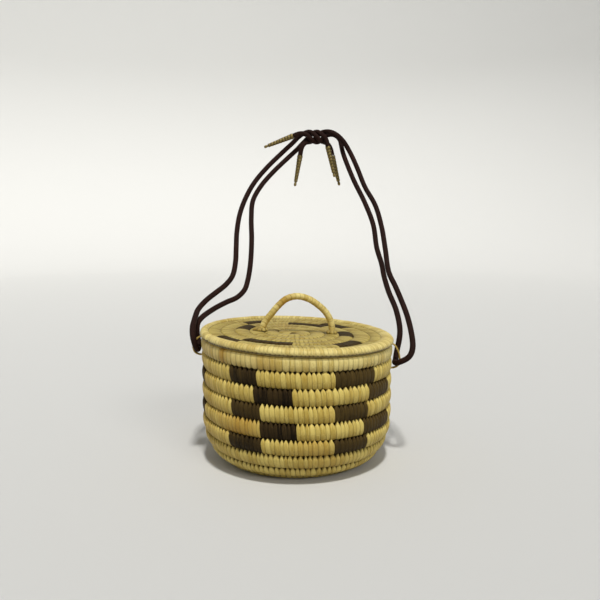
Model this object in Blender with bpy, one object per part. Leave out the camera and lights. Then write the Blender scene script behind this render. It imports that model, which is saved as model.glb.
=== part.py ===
"""Coiled basket with a lift-off coiled lid, a wrapped lid handle and a knotted cord strap.

The basket is one long coil of grass wound as a spiral: flat for the bottom, then climbing the
wall row by row. The lid is a second spiral. Both are lofted along that spiral, so each row runs
on into the next one, and each coil ends in a blunt face where the next piece begins.
Metres, +Z up, origin at the middle of the underside. Azimuth 0 is the front (-Y) and grows
towards +X. A coil climbs or widens as its azimuth falls.
"""
import math

import bmesh
import bpy
import numpy as np
from mathutils import Vector

# Basket
WALL_RADIUS = 0.0885        # over the crests of the wall's rows
FOOT_RADIUS = 0.0600        # flat underside, where the corner begins
CORNER_HEIGHT = 0.0420      # height at which the corner has become an upright wall
RIM_SEAT_HEIGHT = 0.0989    # front height of the seam between the wall and the rim coil
RIM_COIL_HEIGHT = 0.0123    # middle height of the rim coil, over that seam
RIM_TOP_HEIGHT = RIM_SEAT_HEIGHT + RIM_COIL_HEIGHT
COIL_PITCH = 0.0147         # width of one row of the basket
COIL_THICKNESS = 0.0085     # thickness of the basket's coil
GROOVE_DEPTH = 0.0022       # how far the seam between two rows lies below their crests
INNER_GROOVE_DEPTH = 0.0010 # the same on the wall's inner face
WALL_TURNS = 6              # rows between the bottom's last row and the rim coil
BOTTOM_EYE = 0.0088         # radius at which the bottom's first turn starts
RIM_COIL_BULGE = 0.0006     # how far the rim coil stands out past the wall's rows
RIM_COIL_ROUNDING = 0.0030

# Lid, measured from its seat on the rim
LID_OVERHANG = 0.0015       # of the lid's edge past the wall
LID_RADIUS = WALL_RADIUS + LID_OVERHANG
LID_THICKNESS = 0.0078      # of its round edge
LID_DISC_THICKNESS = 0.0060 # of the rows inside the edge, which lie lower
LID_PITCH = 0.0135          # width of one row of the lid
LID_EDGE_WIDTH = 0.0190     # mean width of the lid's last row
LID_CREST_WIDTH = 0.0080    # of the last row's raised part
LID_CREST_RISE_WIDTH = 0.0030   # over which it rises from the disc's height
LID_COIL_MIDDLE = (-0.006, 0.002)   # the rows are wound round this place, not the lid's middle
LID_GROOVE_DEPTH = 0.0014
LID_START = LID_RADIUS - LID_EDGE_WIDTH - 0.5 * LID_PITCH
LID_TILT = math.radians(2.4)    # the last row of the coil climbs, so the lid sits lower at +X
LID_SEAM_AZIMUTH = -62.0    # where the lid's coil ends, at the left front
LID_EYE = 0.0081            # radius at which the lid's first turn starts
LID_RIM_ROUNDING = 0.0036
FLANGE_CLEARANCE = 0.0030   # between the lid's inner ring and the mouth
FLANGE_WIDTH = 0.0065
FLANGE_DEPTH = 0.0085

# Handle of the lid
HANDLE_RADIUS = 0.0031
HANDLE_ROWS_IN = 2.35       # rows of the lid from its last row in to the feet
HANDLE_HALF_SPAN = LID_START - HANDLE_ROWS_IN * LID_PITCH
HANDLE_HEIGHT = 0.0336      # centre line of the arch over the lid's disc
HANDLE_WRAPS = 22           # turns of splint over the arch
HANDLE_WRAP_DEPTH = 0.0003
LASHING_WIDTH = 0.0022      # splint gathered round each foot
LASHING_NOTCH = 0.0006      # between two of its wraps
LASHING_HEIGHT = 0.0030
LASHING_LOBES = 6
# Centre line of the arch, in shares of its half span and its height
HANDLE_OUTLINE = (
    (-1.0, 0.0), (-0.991, 0.11), (-0.908, 0.283), (-0.754, 0.487), (-0.585, 0.698),
    (-0.338, 0.918), (-0.031, 1.0), (0.292, 0.937), (0.585, 0.77), (0.815, 0.566),
    (0.954, 0.33), (1.0, 0.126), (1.0, 0.0))

# Dark splint of the pattern
DARK_SPLINT_THICKNESS = 0.0007
DARK_SPLINT_MARGIN = 0.0004 # a block ends this far before the seams of its row
# Azimuth where the two blocks of a pair meet, and the width of each, in degrees
WALL_BLOCK_PAIRS = ((-90, 20), (-21.5, 20), (44, 22), (120, 20), (180, 20))
# Azimuths at which the lid's blocks start and end: one row in from its last row, and two
LID_OUTER_BLOCKS = ((-61, -38), (34, 60), (123, 148), (204, 231))
LID_INNER_BLOCKS = ((-42, 3), (78, 104), (137, 185), (235, 267))

# Strap
CORD_DIAMETER = 0.0056
CORD_CLEARANCE = 0.0004     # round the cord where it passes through an ear
CORD_POINTS = 80            # points along each cord
CORD_TURN_POINTS = 3.5      # extra points for each radian that the cord turns
CORD_BEND_RADIUS = 0.0118   # of its bends at the ears and behind the tips
KNOT_START = (0.013, 0.190, 0.315)
KNOT_LENGTH = 0.018
KNOT_LAY_RADIUS = 0.0058    # the four strands lie on a circle of this radius
TIP_LENGTH = 0.0360
TIP_MOUTH_RADIUS = 0.0033
TIP_END_RADIUS = 0.0021
TIP_BEAD_RADIUS = 0.0016
TIP_RIBS = 9
TIP_RIB_DEPTH = 0.0005

# Ears that carry the strap, each a band sewn to the rim coil's top and to the wall under it
EAR_TOP_MARGIN = 0.0010     # from its upper end up to the rim's top face
EAR_FALL = 0.0052           # from the cord's middle down to its lower end
EAR_SLACK = 1.2             # above the cord it hangs in: 1 is a round bulge, 2 a straight slope
EAR_THICKNESS = 0.0013
EAR_REACH = RIM_COIL_BULGE + CORD_DIAMETER + 2 * CORD_CLEARANCE + 0.5 * EAR_THICKNESS
EAR_WIDTH = 0.0042
EAR_DROPS = {-1: 0.0006, 1: 0.0066} # of the cord in the left, right ear below the rim's seam
EAR_LEFT_FORWARD = 0.0024   # the left ear sits this far in front of the basket's widest line

SEAT_GAP = 0.0003           # between pieces that touch
COLUMNS = 36                # grid columns in one turn of a coil
ROW_PHASES = (0.0, 0.2, 0.8, 1.0)   # seam, flanks of the crest, seam
INNER_PHASES = (0.0, 0.5, 1.0)
EAR_STEPS = 10
KNOT_STEPS = 6
TIP_SIDES = 8
HANDLE_SIDES = 8

COLUMN_ANGLE = 360.0 / COLUMNS
WALL_SEAM_AZIMUTH = 180.0


def smooth_curve(route):
    """A fine smooth curve through the route's points."""
    points = [np.array(p, dtype=float) for p in route]
    points = [2 * points[0] - points[1]] + points + [2 * points[-1] - points[-2]]
    fine = []
    for a, b, c, d in zip(points, points[1:], points[2:], points[3:]):
        k1 = np.linalg.norm(b - a) ** 0.5
        k2 = np.linalg.norm(c - b) ** 0.5
        k3 = np.linalg.norm(d - c) ** 0.5
        for t in np.linspace(0, 1, 24, endpoint=False):
            s = k1 + t * k2
            ab = a + (b - a) * s / k1
            bc = b + (c - b) * (s - k1) / k2
            cd = c + (d - c) * (s - k1 - k2) / k3
            abc = ab + (bc - ab) * s / (k1 + k2)
            bcd = bc + (cd - bc) * (s - k1) / (k2 + k3)
            fine.append(abc + (bcd - abc) * (s - k1) / k2)
    fine.append(points[-2])
    return np.array(fine)


def spaced_points(curve, count, turn_points=0.0):
    """Points along a fine curve, evenly spaced but closer together where it turns."""
    steps = np.diff(curve, axis=0)
    length = np.linalg.norm(steps, axis=1)
    heading = steps / length[:, None]
    turn = np.linalg.norm(np.diff(heading, axis=0, prepend=heading[:1]), axis=1)
    weight = length * count / length.sum() + turn * turn_points
    reach = np.concatenate([[0], np.cumsum(weight)])
    even = np.linspace(0, reach[-1], count)
    return np.stack([np.interp(even, reach, curve[:, axis]) for axis in range(3)], axis=1)


class BasketProfile:
    """Outer face of the basket from the middle of its underside to the rim, by length along it."""

    def __init__(self):
        run = WALL_RADIUS - FOOT_RADIUS
        turn = np.linspace(0, math.pi / 2, 200)
        corner_r = FOOT_RADIUS + run * np.sin(turn)
        corner_z = CORNER_HEIGHT * (1 - np.cos(turn))
        self.r = np.concatenate([[0.0], corner_r, [WALL_RADIUS]])
        self.z = np.concatenate([[0.0], corner_z, [2 * RIM_TOP_HEIGHT]])
        steps = np.hypot(np.diff(self.r), np.diff(self.z))
        self.length = np.concatenate([[0.0], np.cumsum(steps)])

    def at_height(self, z):
        """Length along the profile at which the upright wall reaches this height."""
        return float(np.interp(z, self.z[1:], self.length[1:]))

    def at(self, length):
        """Radius, height and outward direction at this length."""
        r = np.interp(length, self.length, self.r)
        z = np.interp(length, self.length, self.z)
        ahead = length + 1e-4
        behind = max(length - 1e-4, 0.0)
        dr = np.interp(ahead, self.length, self.r) - np.interp(behind, self.length, self.r)
        dz = np.interp(ahead, self.length, self.z) - np.interp(behind, self.length, self.z)
        size = math.hypot(dr, dz)
        return r, z, dz / size, -dr / size


PROFILE = BasketProfile()
WALL_START = PROFILE.at_height(RIM_SEAT_HEIGHT) - (WALL_TURNS + 0.5) * COIL_PITCH


def around(radius, azimuth, z):
    """Point at this radius, azimuth in degrees and height."""
    angle = math.radians(azimuth)
    return Vector((radius * math.sin(angle), -radius * math.cos(angle), z))


def basket_surface(length, azimuth, lift):
    """Point on the basket's outer face, lifted off it along its outward direction."""
    r, z, out_r, out_z = PROFILE.at(length)
    return around(r + out_r * lift, azimuth, z + out_z * lift)


def lid_point(radius, azimuth, z):
    """Point in the lid's own frame, which starts at its seat.

    The rows' middle lies off the lid's middle, and the last row evens this out.
    """
    share = min(max((LID_RADIUS - radius) / (LID_RADIUS - LID_START), 0), 1)
    x, y = LID_COIL_MIDDLE
    return around(radius, azimuth, z) + share * Vector((x, y, 0))


def lid_surface(radius, azimuth, lift):
    """Point on the top face of the lid's disc, in the lid's own frame."""
    return lid_point(radius, azimuth, SEAT_GAP + LID_DISC_THICKNESS + lift)


def row_lift(phase, depth):
    """Height of a row's face at this share of its width: a crest between two seams."""
    flank = min(phase, 1 - phase) / ROW_PHASES[1]
    return -depth * (1 - min(flank, 1.0))


def add_material(name, color, roughness, metallic=0.0):
    material = bpy.data.materials.new(name)
    material.use_nodes = True
    shader = material.node_tree.nodes["Principled BSDF"]
    shader.inputs["Base Color"].default_value = (*color, 1.0)
    shader.inputs["Roughness"].default_value = roughness
    shader.inputs["Metallic"].default_value = metallic
    return material


def add_object(name, bm, finish, frame=None):
    """Turn the mesh into a shaded object, carried by the given frame if it has one."""
    bmesh.ops.recalc_face_normals(bm, faces=bm.faces)
    mesh = bpy.data.meshes.new(name)
    bm.to_mesh(mesh)
    bm.free()
    mesh.shade_smooth()
    mesh.set_sharp_from_angle(angle=math.radians(50))
    obj = bpy.data.objects.new(name, mesh)
    bpy.context.scene.collection.objects.link(obj)
    mesh.materials.append(add_material(name + "_finish", *finish))
    obj.parent = frame
    return obj


def loft(bm, sections, ring=False):
    """Skin a row of closed outlines. A ring joins its last outline to its first one."""
    rows = [[bm.verts.new(point) for point in section] for section in sections]
    pairs = list(zip(rows, rows[1:]))
    if ring:
        pairs.append((rows[-1], rows[0]))
    else:
        bm.faces.new(rows[0])
        bm.faces.new(rows[-1])
    count = len(rows[0])
    for here, there in pairs:
        for k in range(count):
            after = (k + 1) % count
            bm.faces.new((here[k], here[after], there[after], there[k]))


def column_azimuth(column, first, last, seam_azimuth, radius):
    """Azimuth of a grid column. The two end faces of a coil stand back by half a gap."""
    azimuth = seam_azimuth - column * COLUMN_ANGLE
    half_gap = math.degrees(0.5 * SEAT_GAP / radius)
    if column == first:
        azimuth -= half_gap
    if column == last:
        azimuth += half_gap
    return azimuth


def coil_shell(surface, start, pitch, depth, thickness, columns, seam_azimuth,
               inner_phases, inner_depth, eye=False, lower_gap=0.0, upper_gap=0.0):
    """A coil wound on a surface, each turn grown together with the turns beside it.

    The coil covers the grid columns from columns[0] to columns[1]. Its lower edge is at
    start + pitch * column / COLUMNS along the surface. With an eye, the middle is closed.
    """
    first, last = columns
    bm = bmesh.new()
    verts = {}

    def vertex(column, k, phases, side):
        phase = phases[k]
        if phase == 1.0 and column + COLUMNS <= last:
            column, k, phase = column + COLUMNS, 0, 0.0
        key = (column, k, side)
        if key not in verts:
            length = start + pitch * (column / COLUMNS + phase)
            if phase == 0.0 and column <= first + COLUMNS and not eye:
                length += lower_gap
            if phase == 1.0:
                length -= upper_gap
            fade = min(max(length / pitch - 1, 0), 1) if eye else 1
            if side == "outer":
                lift = row_lift(phase, depth * fade)
            else:
                lift = -thickness - row_lift(phase, inner_depth) if inner_depth else -thickness
            radius = max(surface(length, 0, 0).xy.length, pitch)
            azimuth = column_azimuth(column, first, last, seam_azimuth, radius)
            verts[key] = bm.verts.new(surface(length, azimuth, lift))
        return verts[key]

    sides = (("outer", ROW_PHASES), ("inner", inner_phases))
    chains = {}
    for side, phases in sides:
        for column in range(first, last + 1):
            chains[side, column] = [vertex(column, k, phases, side) for k in range(len(phases))]
        for column in range(first, last):
            here = chains[side, column]
            there = chains[side, column + 1]
            for k in range(len(phases) - 1):
                bm.faces.new((here[k], here[k + 1], there[k + 1], there[k]))
    bm.faces.new(chains["outer", last] + chains["inner", last][::-1])
    for column in range(last - COLUMNS, last):
        bm.faces.new((chains["outer", column][-1], chains["outer", column + 1][-1],
                      chains["inner", column + 1][-1], chains["inner", column][-1]))
    if eye:
        for side, phases in sides:
            lift = 0.0 if side == "outer" else -thickness
            middle = bm.verts.new(surface(0.0, 0.0, lift))
            loop = [chains[side, first + k][0] for k in range(COLUMNS)]
            loop += chains[side, first][:0:-1]
            for here, there in zip(loop, loop[1:] + loop[:1]):
                bm.faces.new((middle, here, there))
    else:
        bm.faces.new(chains["outer", first] + chains["inner", first][::-1])
        for column in range(first, first + COLUMNS):
            bm.faces.new((chains["outer", column][0], chains["outer", column + 1][0],
                          chains["inner", column + 1][0], chains["inner", column][0]))
    return bm


def rim_plane_height(x):
    """Height of the rim's sloping top face."""
    return RIM_TOP_HEIGHT - math.tan(LID_TILT) * x


def eye_column(start, pitch, eye):
    """Grid column at which a coil starts so that its eye has this radius."""
    return round((eye - start) / pitch * COLUMNS)


def build_basket(finish):
    """Bottom and wall: one coil, parted where it turns up from the bottom row."""
    bottom = coil_shell(basket_surface, WALL_START, COIL_PITCH, GROOVE_DEPTH, COIL_THICKNESS,
                        (eye_column(WALL_START, COIL_PITCH, BOTTOM_EYE), 0), WALL_SEAM_AZIMUTH,
                        (0.0, 1.0), 0.0, eye=True, upper_gap=0.5 * SEAT_GAP)
    add_object("basket_base", bottom, finish)
    wall = coil_shell(basket_surface, WALL_START, COIL_PITCH, GROOVE_DEPTH, COIL_THICKNESS,
                      (0, WALL_TURNS * COLUMNS), WALL_SEAM_AZIMUTH, INNER_PHASES,
                      INNER_GROOVE_DEPTH, lower_gap=0.5 * SEAT_GAP, upper_gap=0.5 * SEAT_GAP)
    add_object("basket_wall", wall, finish)


def build_rim_coil(finish):
    """Last turn of the basket's coil. It thins out along its length, so its top is flat."""
    groove = WALL_RADIUS - GROOVE_DEPTH
    outer = WALL_RADIUS + RIM_COIL_BULGE
    inner = WALL_RADIUS - COIL_THICKNESS
    sections = []
    for column in range(COLUMNS + 1):
        azimuth = column_azimuth(column, 0, COLUMNS, WALL_SEAM_AZIMUTH, WALL_RADIUS)
        low = RIM_SEAT_HEIGHT + COIL_PITCH * (column / COLUMNS - 0.5) + 0.5 * SEAT_GAP
        rounding = min(RIM_COIL_ROUNDING, 0.4 * (RIM_TOP_HEIGHT - low))
        outline = ((groove, True, 0), (outer, True, rounding), (outer, False, rounding),
                   (outer - 0.4 * rounding, False, 0.3 * rounding),
                   (outer - rounding, False, 0), (inner, False, 0), (inner, True, 0))
        section = []
        for radius, at_foot, inset in outline:
            point = around(radius, azimuth, 0)
            point.z = low + inset if at_foot else rim_plane_height(point.x) - inset
            section.append(point)
        sections.append(section)
    bm = bmesh.new()
    loft(bm, sections)
    add_object("rim_coil", bm, finish)


def dark_block(surface, start, pitch, depth, first, width, seam_azimuth):
    """One run of dark splint over a row. Its start along the row and width are in grid columns.

    Between grid columns it follows the flat facets under it.
    """
    top = SEAT_GAP + DARK_SPLINT_THICKNESS

    def outline(column):
        points = []
        for lift, phases in ((SEAT_GAP, ROW_PHASES), (top, ROW_PHASES[::-1])):
            for phase in phases:
                inner_phase = phase + (1 - 2 * phase) * DARK_SPLINT_MARGIN / pitch
                length = start + pitch * (column / COLUMNS + inner_phase)
                azimuth = seam_azimuth - column * COLUMN_ANGLE
                points.append(surface(length, azimuth, lift + row_lift(inner_phase, depth)))
        return points

    sections = []
    inside = range(math.floor(first) + 1, math.ceil(first + width))
    for place in (first, *inside, first + width):
        before = math.floor(place)
        ends = zip(outline(before), outline(before + 1))
        sections.append([here.lerp(there, place - before) for here, there in ends])
    bm = bmesh.new()
    loft(bm, sections)
    return bm


def build_wall_pattern(finish):
    """Staggered dark blocks: the left one of each pair on even rows, the right one on odd rows."""
    for row in range(2, WALL_TURNS + 1):
        turn = WALL_TURNS + 1 - row
        for number, (middle, width) in enumerate(WALL_BLOCK_PAIRS, 1):
            right_edge = middle + (width if row % 2 else 0)
            column = (WALL_SEAM_AZIMUTH - right_edge) / COLUMN_ANGLE % COLUMNS
            block = dark_block(basket_surface, WALL_START, COIL_PITCH, GROOVE_DEPTH,
                               turn * COLUMNS + column, width / COLUMN_ANGLE, WALL_SEAM_AZIMUTH)
            add_object(f"dark_wraps_row_{row}_{number}", block, finish)


def ear_height(side):
    """Height of the cord in an ear, by the seam under the rim coil, which climbs round the wall."""
    turns = (WALL_SEAM_AZIMUTH - 90 * side) / 360
    return RIM_SEAT_HEIGHT + COIL_PITCH * (turns - 0.5) - EAR_DROPS[side]


def ear_point(side, angle):
    """Place out from the wall and height of an ear's centre line: the cord lies inside angle 0."""
    reach, rise = math.cos(angle), math.sin(angle)
    height = ear_height(side)
    if rise <= 0:
        return Vector((EAR_REACH * reach, 0, height + EAR_FALL * rise))
    top = rim_plane_height(side * WALL_RADIUS) - EAR_TOP_MARGIN
    return Vector((EAR_REACH * reach ** EAR_SLACK, 0, height + (top - height) * rise))


def build_ear(name, side, forward, finish):
    """Flat band of splint that stands off the wall as a tall shallow loop."""
    sections = []
    quarter = 0.5 * math.pi
    for step in range(EAR_STEPS + 1):
        angle = quarter - math.pi * step / EAR_STEPS
        wall = WALL_RADIUS + SEAT_GAP + (RIM_COIL_BULGE if angle > 0 else 0)
        before = ear_point(side, min(angle + quarter / EAR_STEPS, quarter))
        after = ear_point(side, max(angle - quarter / EAR_STEPS, -quarter))
        out = Vector((0, 1, 0)).cross(before - after).normalized()
        section = []
        for half_thickness, half_width in ((-0.5, -0.5), (0.5, -0.5), (0.5, 0.5), (-0.5, 0.5)):
            point = ear_point(side, angle) + out * half_thickness * EAR_THICKNESS
            point.x = (wall + max(point.x, 0)) * side
            point.y = half_width * EAR_WIDTH - forward
            section.append(point)
        sections.append(section)
    bm = bmesh.new()
    loft(bm, sections)
    add_object(name, bm, finish)


def ear_seat(side, forward):
    """Middle of the cord where it lies in an ear."""
    wall = WALL_RADIUS + RIM_COIL_BULGE + SEAT_GAP
    out = wall + CORD_CLEARANCE + CORD_DIAMETER / 2
    return Vector((side * out, -forward, ear_height(side)))


def millimetres(*points):
    return [Vector(point) / 1000 for point in points]


# Each tip: where its strand lies round the knot's axis at the left end, in degrees up from the
# front, which end of the knot it leaves by (0 left, 1 right), and the way the tip points
TIPS = {
    "tip_1": (0, 0, (-0.93, -0.03, -0.36)),
    "tip_2": (-90, 0, (-0.17, -0.03, -0.98)),
    "tip_3": (180, 1, (0.22, -0.05, -0.97)),
    "tip_4": (90, 1, (0.24, 0.05, -0.97)),
}

# Below the knot the left cord has an outer strand, a bend through its ear and an inner strand
LEFT_OUTER = millimetres(
    (9.2, 192.9, 320.1), (5.1, 194.3, 318.2), (1.3, 194.2, 315.4), (-6, 192, 308),
    (-16, 187.8, 298.5), (-35, 178, 279.5), (-49, 166, 262), (-58, 154, 245), (-64, 138, 226),
    (-66, 120, 206), (-65.5, 105, 191), (-65, 89, 176), (-67, 75, 163), (-73, 65, 155),
    (-82, 57, 148), (-90, 49, 142), (-95, 40, 137), (-97, 29, 133.7), (-96.8, 16, 131.3),
    (-96.4, 5, 129), (-96.2, -4, 126.5), (-96.2, -9, 124.1), (-96, -12, 121.1),
    (-95.6, -13.8, 117.5))
LEFT_EAR = (ear_seat(-1, EAR_LEFT_FORWARD), (-0.2, 0, 0.98), (-3, 3))
LEFT_INNER = millimetres(
    (-95.3, 10.2, 117.9), (-95.3, 12, 121.4), (-94.9, 15, 123.9), (-94.1, 19.2, 125.5),
    (-92.1, 28, 127.6), (-88, 41, 130),
    (-81, 54, 133.5), (-72.5, 64.5, 137), (-62, 74, 141), (-55, 81, 148), (-52, 89, 158),
    (-50, 100, 174), (-49.5, 115, 198), (-51, 134, 222), (-50, 150, 241), (-42, 163, 257),
    (-29, 175.5, 273), (-12, 187, 290), (-1.5, 193, 300), (6, 195.5, 308))

# The right cord has the same on its side
RIGHT_OUTER = millimetres(
    (37.5, 185, 320.5), (45, 181.5, 317), (53, 181, 309.5), (61, 182, 297), (69, 175.5, 279),
    (77, 163, 257), (87.5, 147, 236), (92.5, 126, 213), (94, 101, 190), (95, 75, 167),
    (100, 61, 154), (104.2, 48, 142), (107.2, 34, 131.5), (108.4, 21, 123.5), (108.7, 9, 116.6),
    (108.5, -2, 109.8), (107.9, -7.5, 105), (106.7, -10.6, 100.9), (104.9, -11.8, 97.6))
RIGHT_EAR = (ear_seat(1, 0.0), (0.84, 0, 0.54), (-3, 1))
RIGHT_INNER = millimetres(
    (95, 10.4, 92.4), (96.2, 13.2, 97.3), (97.6, 14.8, 103), (99, 17, 109.5),
    (99.8, 22, 117.3), (98.2, 37, 132.2),
    (93, 60, 149), (90.5, 80, 163), (89.5, 93, 174), (86, 110, 190), (84, 133, 215),
    (76, 150.5, 239), (65, 169, 264), (57, 180.5, 285), (53, 187, 297.5), (51.2, 191, 306.7),
    (50.2, 192.8, 311.2), (47.7, 194.2, 315), (43.9, 195.2, 317.6), (39.4, 195.8, 318.5),
    (34.9, 195.8, 317.6))


def knot_point(start_angle, share):
    """Place of a strand along its half turn round the knot's axis."""
    angle = math.radians(start_angle - 180 * share)
    x, y, z = KNOT_START
    return Vector((x + KNOT_LENGTH * share, y - KNOT_LAY_RADIUS * math.cos(angle),
                   z + KNOT_LAY_RADIUS * math.sin(angle)))


def arc(start, heading, aim, radius, steps):
    """Points of the bend that turns from one heading to another, without its start."""
    heading = Vector(heading).normalized()
    aim = Vector(aim).normalized()
    whole = heading.angle(aim)
    inward = (aim - heading * math.cos(whole)).normalized()
    points = []
    for step in range(1, steps + 1):
        angle = whole * step / steps
        points.append(start + radius * (heading * math.sin(angle) + inward * (1 - math.cos(angle))))
    return points


def strand_to_tip(name):
    """From the strand's side of the knot through it, round and straight into the tip's mouth."""
    start_angle, end, aim = TIPS[name]
    shares = [abs(1 - end - step / KNOT_STEPS) for step in range(KNOT_STEPS + 1)]
    points = [knot_point(start_angle, share) for share in shares]
    heading = points[-1] - knot_point(start_angle, abs(end - 0.01))
    points += arc(points[-1], heading, aim, CORD_BEND_RADIUS, 4)
    points.append(points[-1] + Vector(aim).normalized() * CORD_DIAMETER)
    return points


def ear_bend(ear):
    """Round the band from front to back, in steps of 30 degrees from the cord's lowest place."""
    place, rise, (first, last) = ear
    rise = Vector(rise).normalized()
    centre = place + rise * CORD_BEND_RADIUS
    points = []
    for step in range(first, last + 1):
        angle = math.radians(30 * step)
        side = Vector((0, math.sin(angle), 0))
        points.append(centre + CORD_BEND_RADIUS * (side - rise * math.cos(angle)))
    return points


def cord_routes():
    """Each cord from one tip to the other: knot, strand, ear, strand and knot again."""
    left = strand_to_tip("tip_4")[::-1] + LEFT_OUTER + ear_bend(LEFT_EAR)
    left += LEFT_INNER + strand_to_tip("tip_3")
    right = strand_to_tip("tip_2")[::-1] + RIGHT_OUTER + ear_bend(RIGHT_EAR)
    right += RIGHT_INNER + strand_to_tip("tip_1")
    return {"cord_left": left, "cord_right": right}


def build_cord(name, curve_points, finish):
    """Round cord as a tube along its centre line."""
    points = spaced_points(curve_points, CORD_POINTS, CORD_TURN_POINTS)
    curve = bpy.data.curves.new(name, "CURVE")
    curve.dimensions = "3D"
    curve.bevel_depth = CORD_DIAMETER / 2
    curve.bevel_resolution = 2
    curve.use_fill_caps = True
    spline = curve.splines.new("POLY")
    spline.points.add(len(points) - 1)
    for point, place in zip(spline.points, points):
        point.co = (*place, 1.0)
    obj = bpy.data.objects.new(name, curve)
    bpy.context.scene.collection.objects.link(obj)
    curve.materials.append(add_material(name + "_finish", *finish))


def build_tip(name, finish):
    """Turned metal tip: ribs round a cone, then a small bead."""
    mouth = strand_to_tip(name)[-1]
    aim = Vector(TIPS[name][2]).normalized()
    cone_length = TIP_LENGTH - 3 * TIP_BEAD_RADIUS
    profile = [(0.0, TIP_MOUTH_RADIUS - TIP_RIB_DEPTH)]
    for rib in range(TIP_RIBS):
        for share, depth in ((0.25, 0.0), (0.75, 0.0), (1.0, TIP_RIB_DEPTH)):
            along = (rib + share) / TIP_RIBS
            radius = TIP_MOUTH_RADIUS + (TIP_END_RADIUS - TIP_MOUTH_RADIUS) * along
            if share < 1.0 or rib < TIP_RIBS - 1:
                profile.append((cone_length * along, radius - depth))
    for share, width in ((0, 0.6), (1, 1.0), (2, 1.0), (3, 0.4)):
        profile.append((cone_length + share * TIP_BEAD_RADIUS, width * TIP_BEAD_RADIUS))
    turn = aim.to_track_quat("Z", "Y")
    sections = []
    for along, radius in profile:
        section = []
        for side in range(TIP_SIDES):
            angle = 2 * math.pi * side / TIP_SIDES
            point = Vector((radius * math.cos(angle), radius * math.sin(angle), SEAT_GAP + along))
            section.append(mouth + turn @ point)
        sections.append(section)
    bm = bmesh.new()
    loft(bm, sections)
    add_object(name, bm, finish)


def least_gap(points, others, skip):
    """Least air between two cords' surfaces, or between a cord and itself past its neighbours."""
    apart = np.linalg.norm(points[:, None] - others[None], axis=2)
    if skip:
        row, column = np.indices(apart.shape)
        apart[abs(row - column) < skip] = np.inf
    return apart.min() - CORD_DIAMETER


def build_strap(finish, tip_finish):
    """Two cords, each doubled through its ear, crossed in one knot and tipped with metal."""
    fine = {}
    for name, route in cord_routes().items():
        curve = smooth_curve(route)
        build_cord(name, curve, finish)
        fine[name] = spaced_points(curve, 12 * CORD_POINTS)
        length = np.linalg.norm(np.diff(fine[name], axis=0), axis=1).sum()
        skip = round(6 * CORD_DIAMETER / length * len(fine[name]))
        own_gap = least_gap(fine[name], fine[name], skip)
        print(f"{name}: {length * 1000:.0f} mm long, least gap to itself {own_gap * 1000:.2f} mm")
    between = least_gap(fine["cord_left"], fine["cord_right"], 0)
    print(f"least gap between the cords {between * 1000:.2f} mm")
    for name in TIPS:
        build_tip(name, tip_finish)


def build_lid_rim_coil(frame, finish):
    """Last row of the lid's coil. It narrows along its length, so the lid's edge is round."""
    top = SEAT_GAP + LID_THICKNESS
    disc_top = SEAT_GAP + LID_DISC_THICKNESS
    rounding = LID_RIM_ROUNDING
    crest = LID_RADIUS - LID_CREST_WIDTH
    sections = []
    for column in range(COLUMNS + 1):
        azimuth = column_azimuth(column, 0, COLUMNS, LID_SEAM_AZIMUTH, LID_RADIUS)
        inner = LID_START + LID_PITCH * column / COLUMNS + 0.5 * SEAT_GAP
        flank = min(inner + ROW_PHASES[1] * LID_PITCH, crest - 0.5 * LID_CREST_RISE_WIDTH)
        foot = max(crest - LID_CREST_RISE_WIDTH, 0.5 * (flank + crest))
        sections.append([lid_point(radius, azimuth, z) for radius, z in (
            (inner, SEAT_GAP), (inner, disc_top - LID_GROOVE_DEPTH), (flank, disc_top),
            (foot, disc_top), (crest, top),
            (LID_RADIUS - rounding, top), (LID_RADIUS - 0.3 * rounding, top - 0.3 * rounding),
            (LID_RADIUS, top - rounding), (LID_RADIUS, SEAT_GAP + rounding),
            (LID_RADIUS - 0.3 * rounding, SEAT_GAP + 0.3 * rounding),
            (LID_RADIUS - rounding, SEAT_GAP))])
    bm = bmesh.new()
    loft(bm, sections)
    add_object("lid_rim_coil", bm, finish, frame)


def build_lid_flange(frame, finish):
    """Ring coil sewn under the lid. It drops into the mouth and keeps the lid in place."""
    outer = WALL_RADIUS - COIL_THICKNESS - FLANGE_CLEARANCE
    inner = outer - FLANGE_WIDTH
    chamfer = 0.25 * FLANGE_WIDTH
    sections = []
    for column in range(COLUMNS):
        azimuth = column * COLUMN_ANGLE
        sections.append([around(radius, azimuth, z) for radius, z in (
            (inner, 0), (outer, 0), (outer, chamfer - FLANGE_DEPTH),
            (outer - chamfer, -FLANGE_DEPTH), (inner + chamfer, -FLANGE_DEPTH),
            (inner, chamfer - FLANGE_DEPTH))])
    bm = bmesh.new()
    loft(bm, sections, ring=True)
    add_object("lid_flange", bm, finish, frame)


def build_lid_pattern(frame, finish):
    """Dark blocks in the two rows inside the lid's last row."""
    for name, turn, blocks in (("lid_dark_wraps_outer", 0, LID_OUTER_BLOCKS),
                               ("lid_dark_wraps_inner", 1, LID_INNER_BLOCKS)):
        for number, (left, right) in enumerate(blocks, 1):
            column = (LID_SEAM_AZIMUTH - right) / COLUMN_ANGLE - turn * COLUMNS
            block = dark_block(lid_surface, LID_START, LID_PITCH, LID_GROOVE_DEPTH,
                               column, (right - left) / COLUMN_ANGLE, LID_SEAM_AZIMUTH)
            add_object(f"{name}_{number}", block, finish, frame)


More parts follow.
